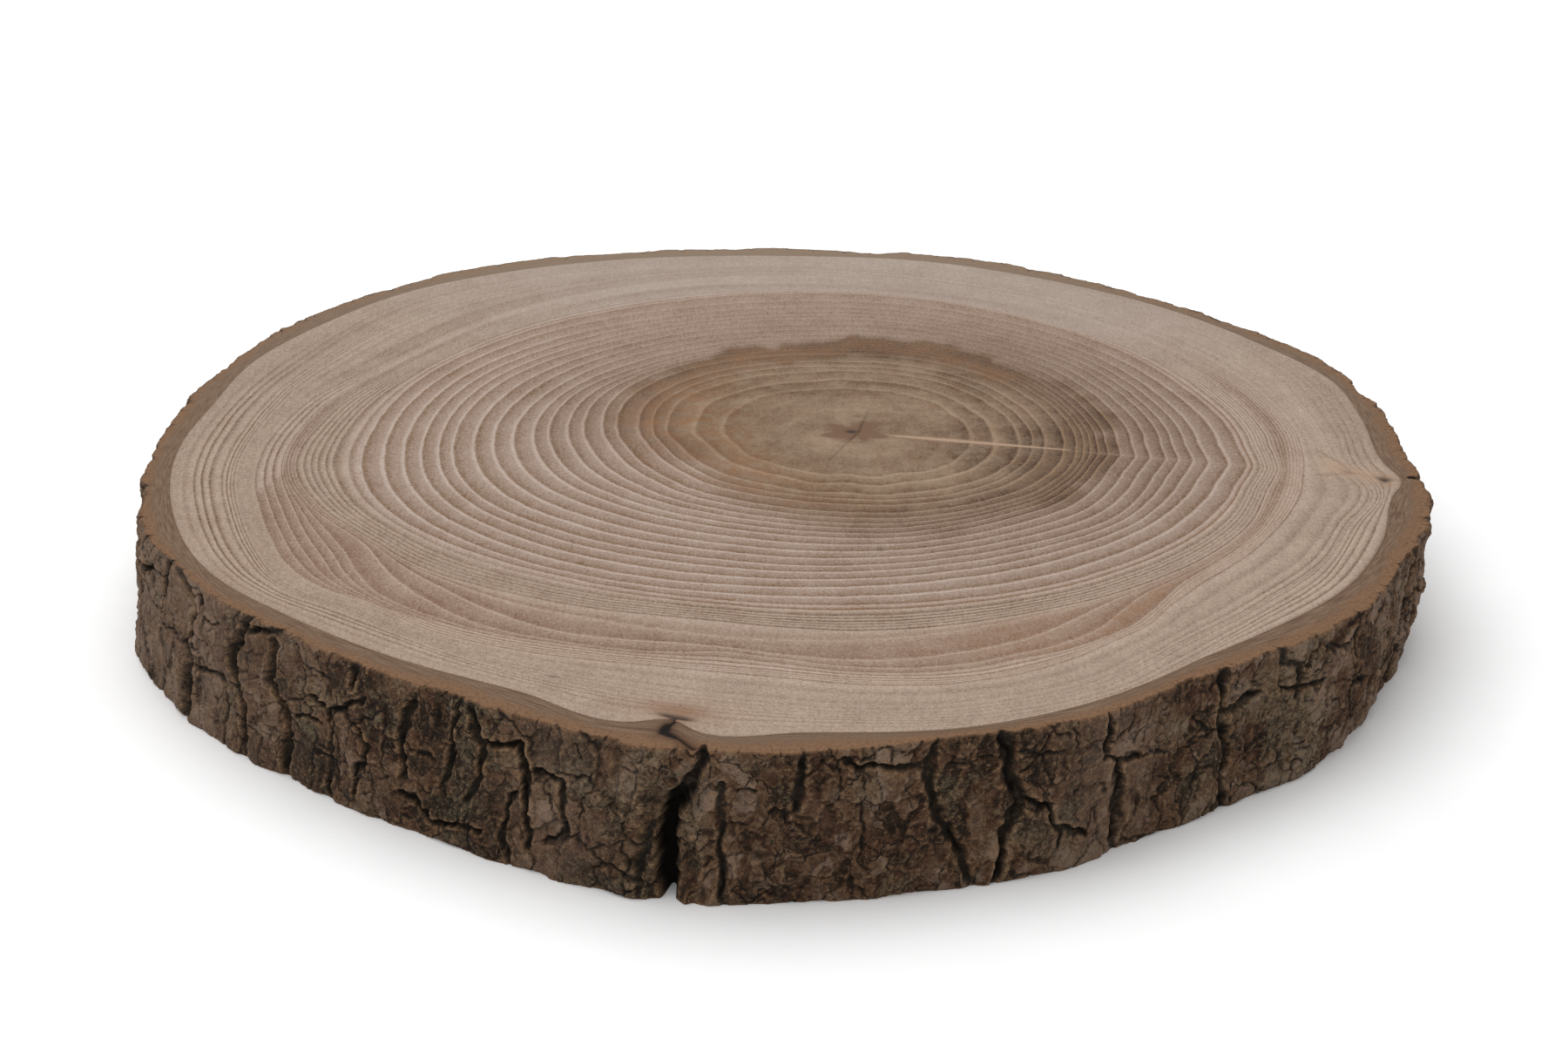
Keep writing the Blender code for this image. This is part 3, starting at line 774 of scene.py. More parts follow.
def crescent_masks(age, angle, back):
    """Where rings are broad, and the redder crescents of fast growth at the front."""
    fan = window(angle, 188.0, 196.0, 216.0, 234.0)
    fast = window(age, 24.9, 25.2, 28.1 + 4.6 * fan, 28.5 + 4.6 * fan)
    wide = 1.0 - smooth(17.0, 17.3, age) + fast * (1.0 - back)
    reach = window(angle, 186.0, 206.0, 345.0, 362.0) + 0.35 * hump(angle, 12, 22)
    reach = np.clip(reach, 0.0, 1.0) * (1.0 - 0.35 * hump(angle, 255, 12))
    return np.clip(wide, 0, 1), window(age, 24.0, 24.3, 32.7, 33.1) * reach


def heart_masks(age, angle, radius):
    """The heart's stain, its core inside the stain, and the flame at its back edge."""
    start, end, strength, spread = (rounded_reading(readings, angle) for readings in (
        STAIN_START, STAIN_END, STAIN_STRENGTH, HALO_STRENGTH))
    ripple = 2.2 * soft_noise(angle, angle * 0.0, 26.0, 63) + 1.2 * soft_noise(angle, radius, 9.0, 64)
    rippled = radius + ripple
    stain = window(rippled, start - 6.0, start + 6.0, end - 4.0, end + 5.0) * strength
    core = (1.0 - smooth(start - 2.0, start + 14.0, rippled)) * (1.0 - 0.3 * stain)
    behind = window(angle, 30.0, 50.0, 120.0, 140.0)
    scallop = behind * bell(radius + 1.8 * ripple, 59.5, 2.0)
    flame = behind * bell(radius + 1.5 * ripple, 55.5, 5.0)
    purple = 0.75 * hump(angle, 352, 24) * window(radius, 9.0, 22.0, 42.0, 50.0)
    halo = spread * window(radius, end - 4.0, end + 1.0, end + 2.0, end + 40.0)
    halo = halo * (1.0 - smooth(17.0, 18.2, age))
    return np.clip(stain + 0.5 * flame + 0.6 * halo + purple + 0.3 * scallop, 0, 1), core, flame


def ochre_mask(age, angle, radius, left, core, flame):
    """Ochre patches of some rings, of the heart's left and of its flame."""
    ochre = 0.5 * window(age, 17.2, 17.5, 17.9, 18.05) * (1.0 - left)
    ochre = ochre + 0.8 * core * hump(angle, 200, 56) * smooth(18.0, 32.0, radius) + 0.55 * flame
    for middle, half_width, strength, ages in OCHRE_RINGS:
        ochre = ochre + strength * window(age, *ages) * hump(angle, middle, half_width)
    for middle, half_width, strength, out, half_depth in OCHRE_PATCHES:
        ochre = ochre + strength * hump(angle, middle, half_width) * bell(radius, out, half_depth)
    return np.clip(ochre, 0, 1)


def light_bands(age, angle, radius, left, core, waving, streaky):
    """Lighter and darker bands that follow the rings, and cream patches round the pith."""
    bands = soft_noise(angle, (age - PITH_AGE) * 2.0, 70.0, 66, tall=2.6) * (1.0 - smooth(8.0, 15.0, age))
    waves = ring_noise(angle, age, 110.0, 68, 1.7) * smooth(17.0, 20.0, age) * waving
    streak = (bell(age, 37.6, 0.9) + 0.7 * bell(age, 33.4, 0.7)) * streaky
    cream = sum(strength * hump(angle, middle, half_width) * window(radius, *radii)
                for middle, half_width, strength, radii in CREAM_PATCHES)
    dim = left * smooth(17.0, 20.0, age) + hump(angle, 262, 42) * window(age, 16.8, 17.3, 25.0, 27.0)
    return (0.13 + 0.1 * core) * bands - 0.04 * core + 0.2 * waves + cream - 0.2 * streak - 0.1 * dim


def wood_masks(age, angle, radius):
    """Masks that the wood's colours follow, for each point of the sawn face."""
    left = smooth(0.0, 1.0, 1.25 * hump(angle, 190, 44))
    back = smooth(0.0, 1.0, 1.3 * hump(angle, 88, 58))
    faded = window(angle, 20.0, 50.0, 154.0, 180.0) * smooth(20.0, 30.0, age)
    wide, crescent = crescent_masks(age, angle, back)
    heart = 1.0 - smooth(17.9, 18.1, age) + 0.35 * (1.0 - back) * window(age, 24.0, 24.4, 32.7, 33.2)
    stain, core, flame = heart_masks(age, angle, radius)
    waving = np.clip(np.maximum(back, faded) + hump(angle, 8, 20), 0.0, 1.0)
    streaky = faded * smooth(110.0, 135.0, angle)
    return {
        "age": age, "wide": wide, "line": ring_lines(age, angle, left, back, faded),
        "contrast": ring_contrast(age, angle, back), "crescent": crescent,
        "heart": np.clip(heart, 0, 1), "back": back, "stain": stain, "core": core,
        "ochre": ochre_mask(age, angle, radius, left, core, flame),
        "bands": light_bands(age, angle, radius, left, core, waving, streaky),
    }


def across(angle, radius, middle):
    """Millimetres from a radial line at the middle angle."""
    return radius * np.radians(away(angle, middle))


def pith_marks(angle, radius):
    """The pith's star, its dark eye, and the two drying cracks through it."""
    jitter = 0.25 * soft_noise(angle, radius, 3.0, 72)
    crack = np.zeros(np.shape(angle))
    for middle, half, stop in PITH_CRACKS:
        line = bell(across(angle, radius, middle) + jitter, 0.0, half) * (np.abs(away(angle, middle)) < 60)
        crack = np.maximum(crack, line * window(radius, -12.0, -6.0, stop - 3.0, stop + 3.0))
    turn = np.radians(angle)
    x, y = radius * np.cos(turn), radius * np.sin(turn)
    petals = 5.6 + 2.6 * soft_noise(angle, radius * 0.0, 62.0, 73)
    petals = petals + 0.5 * soft_noise(angle, radius, 20.0, 74)
    pith = 1.0 - smooth(petals - 1.0, petals + 0.8, np.hypot(x * 0.78, y - 1.0))
    return crack, pith, bell(x, -1.6, 1.2) * bell(y, 0.8, 0.9)


def seam_marks(angle, radius):
    """The ingrown seam at the right: its crack, knots, glow and fork."""
    offset = across(angle, radius, np.interp(radius, SEAM_RADII, SEAM_ANGLES))
    offset = offset + 0.7 * soft_noise(angle, radius, 4.0, 71)
    seam = bell(offset, 0.0, 0.8 + bell(radius, 128.0, 2.2)) * smooth(115.0, 119.0, radius)
    knots = 0.25 * bell(radius, 119.5, 2.0) + bell(radius, 128.0, 1.7) + 0.8 * smooth(131.5, 133.5, radius)
    glow = bell(offset, 0.0, 3.0) * smooth(110.0, 117.0, radius)
    fork = bell(np.abs(offset), 0.95 * (120.5 - radius), 0.7)
    fork = fork * window(radius, 111.7, 113.3, 119.7, 121.3)
    return seam, knots, glow, fork * (np.abs(away(angle, 348.0)) < 60)


def slit_marks(angle, radius):
    """The ingrown spot at the front: its slit, the rift out of it and its warm halo."""
    around, out = across(angle, radius, FRONT_SLIT[0]), radius - FRONT_SLIT[1]
    halo = bell(around, -0.5, 8.4) * bell(out, -2.6, 3.2)
    halo = halo + 0.8 * bell(around, 0.0, 3.2) * smooth(-1.5, 1.5, out)
    slit = bell(out, 0.1 * around, 0.75) * trough(around, 3.8)
    rift = bell(around + 0.25 * out, 0.0, 0.45 + 0.12 * np.clip(out, 0, 9)) * smooth(-0.6, 1.0, out)
    return slit, rift, halo


def wood_marks(angle, radius):
    """Masks and depth of the marks: the pith, the ray, cracks and the ingrown spots.

    Each is a bell of the distance to a spot, or across a radial line, that is
    cut off where the line starts and stops.
    """
    crack, pith, eye = pith_marks(angle, radius)
    seam, knots, glow, fork = seam_marks(angle, radius)
    slit, rift, halo = slit_marks(angle, radius)
    ray = bell(across(angle, radius, RAY_ANGLE), 0.0, np.interp(radius, RAY_RADII, RAY_WIDTHS))
    ray = ray * window(radius, 6.5, 9.5, 50.5, 53.5)
    trail = bell(across(angle, radius, TRAIL_ANGLE), 0.0, 0.45) * window(radius, 50.0, 58.0, 100.0, 108.0)
    spots = sum(strength * bell(across(angle, radius, at), 0.0, wide) * bell(radius, out, tall)
                for at, out, wide, tall, strength in DARK_SPOTS)
    dark = (0.32 * crack + 0.37 * pith + 0.95 * eye + 1.1 * slit + rift
            + (0.85 * knots + 0.15) * seam + 0.12 * fork + spots)
    warm = 0.95 * pith + 0.85 * halo + 0.75 * glow * knots + 0.5 * fork
    pale = ray + 0.25 * trail + 0.75 * glow * window(radius, 110.0, 114.0, 129.0, 133.0)
    depth = 0.08 * crack + 0.2 * eye + 0.4 * slit + 0.4 * rift + 0.4 * seam * knots
    return {"dark": np.clip(dark, 0, 1), "warm": np.clip(warm, 0, 1), "ray": np.clip(pale, 0, 1)}, depth


def cambium_round_outline(angle):
    """Radius of the cambium round the outline's centre, at angles round it."""
    turn = np.linspace(0.0, 360.0, CAMBIUM_SAMPLES, endpoint=False)
    radius = ring_radius(np.full((1, CAMBIUM_SAMPLES), LAST_AGE), turn[None, :])[0]
    x = PITH[0] + radius * np.cos(np.radians(turn))
    y = PITH[1] + radius * np.sin(np.radians(turn))
    seen = np.degrees(np.arctan2(y, x)) % 360.0
    order = np.argsort(seen)
    return np.interp(angle % 360.0, seen[order], np.hypot(x, y)[order], period=360.0)


def into_frame(x, y, z):
    """Points in metres in the frame: the trunk leans, so lower points lie further to -X."""
    x = x + OUTLINE_CENTRE[0] - LEAN * (1.0 - z / THICKNESS)
    return np.stack([x, y + OUTLINE_CENTRE[1], z], axis=-1) * MM


def link_object(name, data):
    """A new object in the scene that shows the data."""
    item = bpy.data.objects.new(name, data)
    bpy.context.scene.collection.objects.link(item)
    return item


def fill_mesh(name, points, faces, masks, material):
    """Makes the object that stands for the slice, with a float attribute for each mask."""
    mesh = bpy.data.meshes.new(name)
    mesh.from_pydata(points.reshape(-1, 3), [], faces)
    for mask, values in masks.items():
        layer = mesh.attributes.new(mask, "FLOAT", "POINT")
        layer.data.foreach_set("value", np.ascontiguousarray(values, dtype=np.float32).ravel())
    mesh.shade_smooth()
    mesh.materials.append(material)
    mesh.validate()
    piece = link_object(name, mesh)
    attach(piece, "root")
    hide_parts("wood_slice")


def quads(rows, columns, wrap):
    """Squares of a grid numbered row by row, closed round the columns if wrap is set."""
    row = np.arange(rows - 1)[:, None]
    column = np.arange(columns if wrap else columns - 1)[None, :]
    right = (column + 1) % columns
    corners = [row * columns + column, row * columns + right,
               (row + 1) * columns + right, (row + 1) * columns + column]
    return np.stack(corners, axis=-1).reshape(-1, 4)


def sawn_face(column, ages):
    """Angle, radius, masks and depth of the marks over a sawn face, a row for each age."""
    angle, age = np.meshgrid(column, ages)
    radius = ring_radius(age, angle)
    marks, depth = wood_marks(angle, radius)
    return angle, radius, {**wood_masks(age, angle, radius), **marks}, depth


def wood_disc_parts():
    """Points, faces and masks of the wood inside the bark.

    Rows run from the pith out over the sawn face along lines of equal age,
    down the edge and in again below. Each row is a closed ring of columns,
    which stand closer together at the two ingrown spots. A point at the pith
    closes either end.
    """
    column = np.concatenate([np.linspace(*stretch, endpoint=False) for stretch in DISC_COLUMNS])
    steps = np.concatenate([np.arange(*stretch) for stretch in DISC_ROWS])
    angle, radius, masks, depth = sawn_face(column, steps)
    below = np.linspace(PITH_AGE + 1, LAST_AGE, UNDERSIDE_ROWS)[::-1]
    low_angle, low_radius, low_masks, _ = sawn_face(column, below)
    turn = np.radians(np.vstack([angle, low_angle]))
    radius = np.vstack([radius, low_radius])
    z = np.vstack([THICKNESS - depth, np.zeros(low_angle.shape)])
    points = into_frame(PITH[0] + radius * np.cos(turn), PITH[1] + radius * np.sin(turn), z)
    poles = into_frame(np.full(2, PITH[0]), np.full(2, PITH[1]), np.array([THICKNESS - 0.2, 0.0]))
    masks = {name: np.concatenate([np.vstack([value, low_masks[name]]).ravel(), value[0, :1],
                                   low_masks[name][-1, :1]]) for name, value in masks.items()}
    rows, columns = radius.shape
    count, last = rows * columns, (rows - 1) * columns
    left = np.arange(columns)
    right = (left + 1) % columns
    faces = quads(rows, columns, True)[:, ::-1].tolist()
    faces += np.stack([left, right, np.full(columns, count)], axis=-1).tolist()
    faces += np.stack([last + right, last + left, np.full(columns, count + 1)], axis=-1).tolist()
    return np.vstack([points.reshape(-1, 3), poles]), faces, masks


def sawn_rim(angle, radius, inner):
    """Height of the sawn rim, with how corky it is, how far out, and the rift's masks.

    The inner bark is smooth, the cork outside it crumbles, and the rift runs
    over both from the ingrown spot to the front cleft.
    """
    whole = plain_radius(angle, np.full(len(angle), THICKNESS)) - SAWN_EDGE_WEAR
    depth_in = whole - radius
    outward = (radius - inner) / (whole - inner)
    cork = smooth(0.3, 0.8, outward - 0.2 * hump(angle, 180, 45)
                  + 0.1 * soft_noise(angle, angle * 0.0, 7.0, 81)
                  + 0.07 * soft_noise(angle, depth_in, 1.5, 82))
    crumble = layered_noise(angle, depth_in, (1.0, 1.3, 83), (0.6, 0.8, 84))
    grain = (0.04 + 0.12 * cork) * np.clip(0.5 + 0.5 * crumble, 0.0, 1.5)
    rim_angle = np.broadcast_to(angle, radius.shape)
    ragged = soft_noise(rim_angle, depth_in, 1.6, 85)
    distance, along = route_closeness(rim_angle + 0.25 * ragged, radius + 0.6 * ragged, INGROWN_RIFT)
    half = np.interp(along, np.arange(len(INGROWN_RIFT)), INGROWN_RIFT_WIDTHS) / 2
    rift = trough(distance, half)
    height = THICKNESS - RIM_DROP - grain - 0.3 * rift
    height[-1] = THICKNESS - 0.08
    return height, cork, outward, rift, bell(distance, 0.0, half + 1.6)


def bark_quarter_parts(start, stop):
    """Points, faces and masks of the bark between two angles.

    The profile goes up the side, in over the sawn rim to just inside the
    cambium, down, and out below. A polygon closes either end.
    """
    angle = np.linspace(start, stop, BARK_COLUMNS)
    side_angle, side_height = np.meshgrid(angle, np.linspace(0.0, THICKNESS, SIDE_ROWS))
    side, masks = bark_side(side_angle, side_height)
    inner = cambium_round_outline(angle) - RIM_INSET
    share = np.linspace(1.0, 0.0, RIM_ROWS + 1)[1:, None]
    low_share = np.linspace(0.0, 1.0, UNDER_ROWS + 1)[:-1, None]
    top_radius = inner + (side[-1] - inner) * share
    low_radius = inner + (side[0] - inner) * low_share
    rim_height, cork, outward, rift, rift_stain = sawn_rim(angle, top_radius, inner)
    z = np.vstack([side_height, rim_height, np.zeros(low_radius.shape)])
    radius = np.vstack([side, top_radius, low_radius])
    turn = np.radians(angle)
    points = into_frame(radius * np.cos(turn), radius * np.sin(turn), z)
    blank = [np.zeros(top_radius.shape), np.zeros(low_radius.shape)]
    rims = {
        "crack": [np.maximum(masks["crack"][-1] * share ** 8, rift), masks["crack"][0] * low_share ** 6],
        # On the rim this mask is the reddish stain round the rift, the wood's own colour
        "hollow_shade_and_rift_stain": [0.8 * rift_stain, blank[1]],
    }
    masks = {name: np.vstack([value, *rims.get(name, blank)]) for name, value in masks.items()}
    under_cork = smooth(0.4, 0.6, low_share) + blank[1]
    worn_edge = 1.0 - window(side_height, 0.1, 0.5, THICKNESS - 0.5, THICKNESS - 0.1)
    masks["sawn"] = np.vstack([worn_edge, *[part + 1.0 for part in blank]])
    masks["cork"] = np.vstack([np.ones(side.shape), cork, under_cork])
    masks["far"] = hump(angle, 92, 55) * np.ones((len(z), 1))
    masks["inward"] = np.vstack([np.zeros(side.shape), 1.0 - outward, 1.0 - under_cork])
    rows, columns = z.shape
    first_row, last_row = np.arange(columns), (rows - 1) * columns + np.arange(columns)
    underside = np.stack([last_row[:-1], last_row[1:], first_row[1:], first_row[:-1]], axis=-1)
    first_end = np.arange(rows) * columns
    ends = [first_end.tolist(), (first_end + columns - 1).tolist()[::-1]]
    return points, quads(rows, columns, False).tolist() + underside.tolist() + ends, masks


def wire(tree, kind, inputs=None, output=0, stops=None, **settings):
    """Adds a node with its settings and returns the output that is asked for.

    Each input is a value or another node's output, and stops are the places
    and colours of a colour ramp.
    """
    node = tree.nodes.new("ShaderNode" + kind)
    for name, value in settings.items():
        setattr(node, name, value)
    for key, value in (inputs or {}).items():
        if isinstance(value, bpy.types.NodeSocket):
            tree.links.new(value, node.inputs[key])
        else:
            node.inputs[key].default_value = value
    if stops:
        ramp = node.color_ramp.elements
        while len(ramp) < len(stops):
            ramp.new(0.5)
        for element, (place, colour) in zip(ramp, stops):
            element.position = place
            element.color = colour if not isinstance(colour, float) else (colour,) * 3 + (1.0,)
    return node.outputs[output]


def new_material(name):
    """A material with its node tree and the principled shader in it."""
    material = bpy.data.materials.new(name)
    material.use_nodes = True
    return material, material.node_tree, material.node_tree.nodes["Principled BSDF"]


def end_grain_material(look):
    """Sawn and lightly sanded end grain of a pale ring-porous wood: matt, with
    a pale ring of earlywood pores at the start of each year, browner latewood
    after it, and a stained heart. Ring widths are 1.5 to 5 mm, pores 0.3 mm.
    """
    material, tree, shader = new_material("sawn_end_grain")
    place = wire(tree, "TexCoord", output="Object")
    mask = {name: wire(tree, "Attribute", output="Fac", attribute_name=name)
            for name in ("age", "wide", "line", "contrast", "crescent", "heart", "back", "stain", "core",
                         "ochre", "bands", "dark", "warm", "ray")}
    turned = wire(tree, "Mapping", {"Vector": place, "Rotation": (0.0, 0.0, 0.95), "Scale": (1.0, 0.14, 1.0)})
    noise = {name: wire(tree, "TexNoise", {"Vector": vector, "Scale": scale, "Detail": detail,
                                           "Roughness": rough}, "Fac")
             for name, vector, scale, detail, rough in (
                 ("ragged", place, 380.0, 3.0, 0.5), ("pores", place, 2100.0, 2.0, 0.6),
                 ("sanding", turned, 1400.0, 2.0, 0.5), ("cloud", place, 90.0, 5.0, 0.65),
                 ("patches", place, 170.0, 6.0, 0.72), ("grit", place, 1500.0, 3.0, 0.5))}
    fleck = wire(tree, "TexVoronoi", {"Vector": place, "Scale": 110.0}, "Distance")
    level = {name: wire(tree, "MapRange", {0: source, 1: low, 2: high, 3: at_low, 4: at_high})
             for name, source, low, high, at_low, at_high in (
                 ("shift", noise["ragged"], 0.3, 0.7, -0.022, 0.022),
                 ("pores", noise["pores"], 0.3, 0.7, -0.3, 0.3),
                 ("sanding", noise["sanding"], 0.3, 0.7, -0.06, 0.06),
                 ("cloud", noise["cloud"], 0.3, 0.7, -0.11, 0.11),
                 ("swell", mask["core"], 0.0, 1.0, 1.0, 2.3),
                 ("hasten", mask["crescent"], 0.0, 1.0, 1.0, 0.68),
                 ("warm_patch", noise["patches"], 0.52, 0.68, 0.0, 0.3),
                 ("ochre_patch", noise["patches"], 0.38, 0.62, 0.1, 1.0),
                 ("grey_patch", noise["patches"], 0.56, 0.36, 0.0, 0.42),
                 ("fleck", fleck, 0.045, 0.03, 0.0, 0.5))}
    age = wire(tree, "Math", {0: mask["age"], 1: level["shift"]}, operation="ADD")
    phase = wire(tree, "Math", {0: age}, operation="FRACT")
    early = wire(tree, "Math", {0: phase, 1: level["hasten"]}, operation="POWER")
    wide_light, tight_light, outer_light = (wire(tree, "ValToRGB", {0: at}, stops=stops) for at, stops in (
        (early, WIDE_RING), (phase, TIGHT_RING), (phase, OUTER_RING)))
    late = wire(tree, "MapRange", {0: age, 1: 24.0, 2: 31.0, 3: 0.0, 4: 1.0})
    tight_light = wire(tree, "Mix", {0: late, 2: tight_light, 3: outer_light})
    even = wire(tree, "Mix", {0: mask["line"], 2: 0.74, 3: tight_light})
    wide = wire(tree, "Mix", {0: mask["contrast"], 2: 0.42, 3: wide_light})
    light = wire(tree, "Mix", {0: mask["wide"], 2: even, 3: wide})
    cloud = wire(tree, "Math", {0: level["cloud"], 1: level["swell"]}, operation="MULTIPLY")
    for part in (level["pores"], level["sanding"], cloud, mask["bands"]):
        light = wire(tree, "Math", {0: light, 1: part}, operation="ADD")
    light = wire(tree, "Clamp", {"Value": light, "Min": -0.25, "Max": 1.2})
    tones = []
    for tone in ("deep", "pale"):
        colour = getattr(look, "sapwood_" + tone)
        for factor, zone in (("back", "sapwood_back"), ("heart", "heartwood"), ("crescent", "crescent"),
                             ("core", "core"), ("stain", "stain")):
            colour = wire(tree, "Mix", {0: mask[factor], 6: colour, 7: getattr(look, f"{zone}_{tone}")},
                          2, data_type="RGBA")
        tones.append(colour)
    colour = wire(tree, "Mix", {0: light, 6: tones[0], 7: tones[1]}, 2, data_type="RGBA", clamp_factor=False)
    warm, ochre, grey = (wire(tree, "Math", {0: level[patch], 1: mask[where]}, operation="MULTIPLY")
                         for patch, where in (("warm_patch", "core"), ("ochre_patch", "ochre"),
                                              ("grey_patch", "core")))
    ochre = wire(tree, "Math", {0: ochre, 1: warm}, operation="MAXIMUM")
    ochre = wire(tree, "Math", {0: ochre, 1: 0.72}, operation="MULTIPLY")
    for factor, paint in ((ochre, look.ochre), (grey, look.core_grey), (mask["warm"], look.ingrown_warm),
                          (mask["ray"], look.ray_pale), (mask["dark"], look.ingrown_dark),
                          (level["fleck"], look.ingrown_dark)):
        colour = wire(tree, "Mix", {0: factor, 6: colour, 7: paint}, 2, data_type="RGBA")
    tree.links.new(colour, shader.inputs["Base Color"])
    rough = wire(tree, "MapRange", {0: light, 3: 0.74, 4: 0.62})
    tree.links.new(rough, shader.inputs["Roughness"])
    height = wire(tree, "Math", {0: light, 1: noise["grit"]}, operation="ADD")
    bump = wire(tree, "Bump", {"Strength": 0.2, "Distance": 0.0001, "Height": height})
    tree.links.new(bump, shader.inputs["Normal"])
    shader.inputs["IOR"].default_value = 1.45
    shader.inputs["Specular IOR Level"].default_value = 0.3
    return material


def bark_material(look):
    """Old fissured bark: dry, dead cork in layered plates, dead matt, brown with
    redder scales and tan specks, with light and shade painted in: tan
    highlights on raised ridges and lit flake edges, darker shade in the hollows
    and greenish black shade on the fissure floors.
    Its sawn rim shows grey-brown inner bark and crumbly orange-brown cork,
    with grains of about 0.5 mm.
    """
    material, tree, shader = new_material("fissured_bark")
    place = wire(tree, "TexCoord", output="Object")
    mask = {name: wire(tree, "Attribute", output="Fac", attribute_name=name)
            for name in ("fissure", "crack", "hollow_shade_and_rift_stain", "ridge_highlight", "plate", "bloom", "sawn", "cork", "inward",
                         "far", "calm")}
    inwards = wire(tree, "Math", {0: mask["inward"], 1: 0.009}, operation="MULTIPLY")
    inwards = wire(tree, "CombineXYZ", {"X": inwards})
    along = wire(tree, "VectorMath", {0: place, 1: (0.1,) * 3, 2: inwards}, operation="MULTIPLY_ADD")
    noise = {name: wire(tree, "TexNoise", {"Vector": vector, "Scale": scale, "Detail": detail,
                                           "Roughness": rough}, "Fac")
             for name, vector, scale, detail, rough in (
                 ("fine", place, 1300.0, 4.0, 0.7), ("broad", place, 230.0, 5.0, 0.65),
                 ("patchy", place, 75.0, 2.0, 0.5), ("grit", place, 2700.0, 3.0, 0.75),
                 ("fibre", along, 2000.0, 3.0, 0.6))}
    drift = wire(tree, "TexNoise", {"Vector": place, "Scale": 420.0, "Detail": 3.0}, "Color")
    bent = wire(tree, "VectorMath", {0: drift, 1: (0.0036,) * 3, 2: place}, operation="MULTIPLY_ADD")
    gap = wire(tree, "TexVoronoi", {"Vector": bent, "Scale": 160.0}, "Distance", feature="DISTANCE_TO_EDGE")
    flake = wire(tree, "TexVoronoi", {"Vector": bent, "Scale": 160.0}, "Color")
    flake = wire(tree, "SeparateColor", {"Color": flake}, "Red")
    lift = wire(tree, "MapRange", {0: noise["fine"], 1: 0.38, 2: 0.62, 3: 0.0, 4: 1.0})
    level = {name: wire(tree, "MapRange", {0: source, 1: low, 2: high, 3: at_low, 4: at_high})
             for name, source, low, high, at_low, at_high in (
                 ("mottle", noise["broad"], 0.32, 0.68, -0.35, 0.35),
                 ("varied", flake, 0.0, 1.0, -0.26, 0.26),
                 ("speck", noise["fine"], 0.54, 0.68, 0.0, 0.6),
                 ("grime", noise["fine"], 0.25, 0.48, 0.75, 0.0),
                 ("half_lift", lift, 0.0, 1.0, 0.35, 0.9),
                 # Painted highlight: a tan band along the edges of proud flakes
                 ("lit_edge", gap, 0.12, 0.05, 0.0, 0.22),
                 ("proud", flake, 0.4, 0.7, 0.0, 1.0),
                 ("outline", gap, 0.05, 0.02, 0.0, 0.9),
                 ("broken", noise["broad"], 0.42, 0.5, 0.0, 1.0),
                 ("patchy", noise["patchy"], 0.42, 0.56, 0.2, 1.0),
                 ("fading", mask["calm"], 0.0, 1.0, 1.0, 0.55),
                 # Painted shade on the fissure floors, broken up by noise
                 ("floor", lift, 0.0, 1.0, 1.0, 0.55),
                 ("grit", noise["grit"], 0.3, 0.7, 0.68, 1.32),
                 ("fibre", noise["fibre"], 0.35, 0.65, 0.0, 1.0),
                 ("cambium", mask["inward"], 0.88, 1.0, 0.0, 0.55))}
    amount = {}
    for name, first, *others in (
            ("bloom", mask["bloom"], lift, 0.6), ("weathered", mask["calm"], 0.38),
            # Painted highlights: tan on raised ridges and on the lit edges of proud flakes
            ("ridge_highlight", mask["ridge_highlight"], level["half_lift"]), ("lit", level["lit_edge"], level["proud"]),
            ("outlined", level["outline"], level["broken"], level["patchy"], level["fading"]),
            ("hollow_shade_and_rift_stain", mask["hollow_shade_and_rift_stain"], 0.85), ("floor", level["floor"], mask["fissure"]),
            ("worn", mask["far"], 0.75)):
        for other in others:
            first = wire(tree, "Math", {0: first, 1: other}, operation="MULTIPLY")
        amount[name] = first
    tone = wire(tree, "Math", {0: mask["plate"], 1: level["mottle"]}, operation="ADD")
    tone = wire(tree, "Math", {0: tone, 1: level["varied"]}, operation="ADD", use_clamp=True)
    colour = wire(tree, "ValToRGB", {0: tone}, stops=(
        (0.0, look.bark_deep), (0.3, look.bark_red), (0.62, look.bark_brown), (1.0, look.bark_grey)))
    for factor, paint in (
            (level["speck"], look.bark_tan), (amount["bloom"], look.bark_lichen),
            (amount["weathered"], look.bark_weathered), (level["grime"], look.bark_deep),
            # bark_tan on the ridges and the lit flake edges is painted highlight; the specks are the bark's
            # own tan
            (amount["ridge_highlight"], look.bark_tan), (amount["lit"], look.bark_tan),
            # bark_deep in the hollows is painted shade
            (amount["outlined"], look.bark_black), (amount["hollow_shade_and_rift_stain"], look.bark_deep),
            # The fissure floors' near-black olive is painted shade
            (amount["floor"], look.fissure_floor_shade), (mask["crack"], look.bark_black)):
        colour = wire(tree, "Mix", {0: factor, 6: colour, 7: paint}, 2, data_type="RGBA")
    colour = wire(tree, "HueSaturation", {"Value": level["grit"], "Color": colour})
    torn = wire(tree, "Mix", {0: level["fibre"], 2: lift, 3: 0.75})
    inner, cork = (wire(tree, "Mix", {0: factor, 6: first, 7: second}, 2, data_type="RGBA")
                   for factor, first, second in ((level["fibre"], look.inner_bark_pale, look.inner_bark_deep),
                                                 (torn, look.cork_deep, look.cork_pale)))
    cork = wire(tree, "Mix", {0: level["grime"], 6: cork, 7: look.bark_red}, 2, data_type="RGBA")
    rim = wire(tree, "Mix", {0: mask["cork"], 6: inner, 7: cork}, 2, data_type="RGBA")
    rim = wire(tree, "Mix", {0: level["cambium"], 6: rim, 7: look.inner_bark_deep}, 2, data_type="RGBA")
    rim = wire(tree, "HueSaturation", {"Value": level["grit"], "Fac": 0.5, "Color": rim})
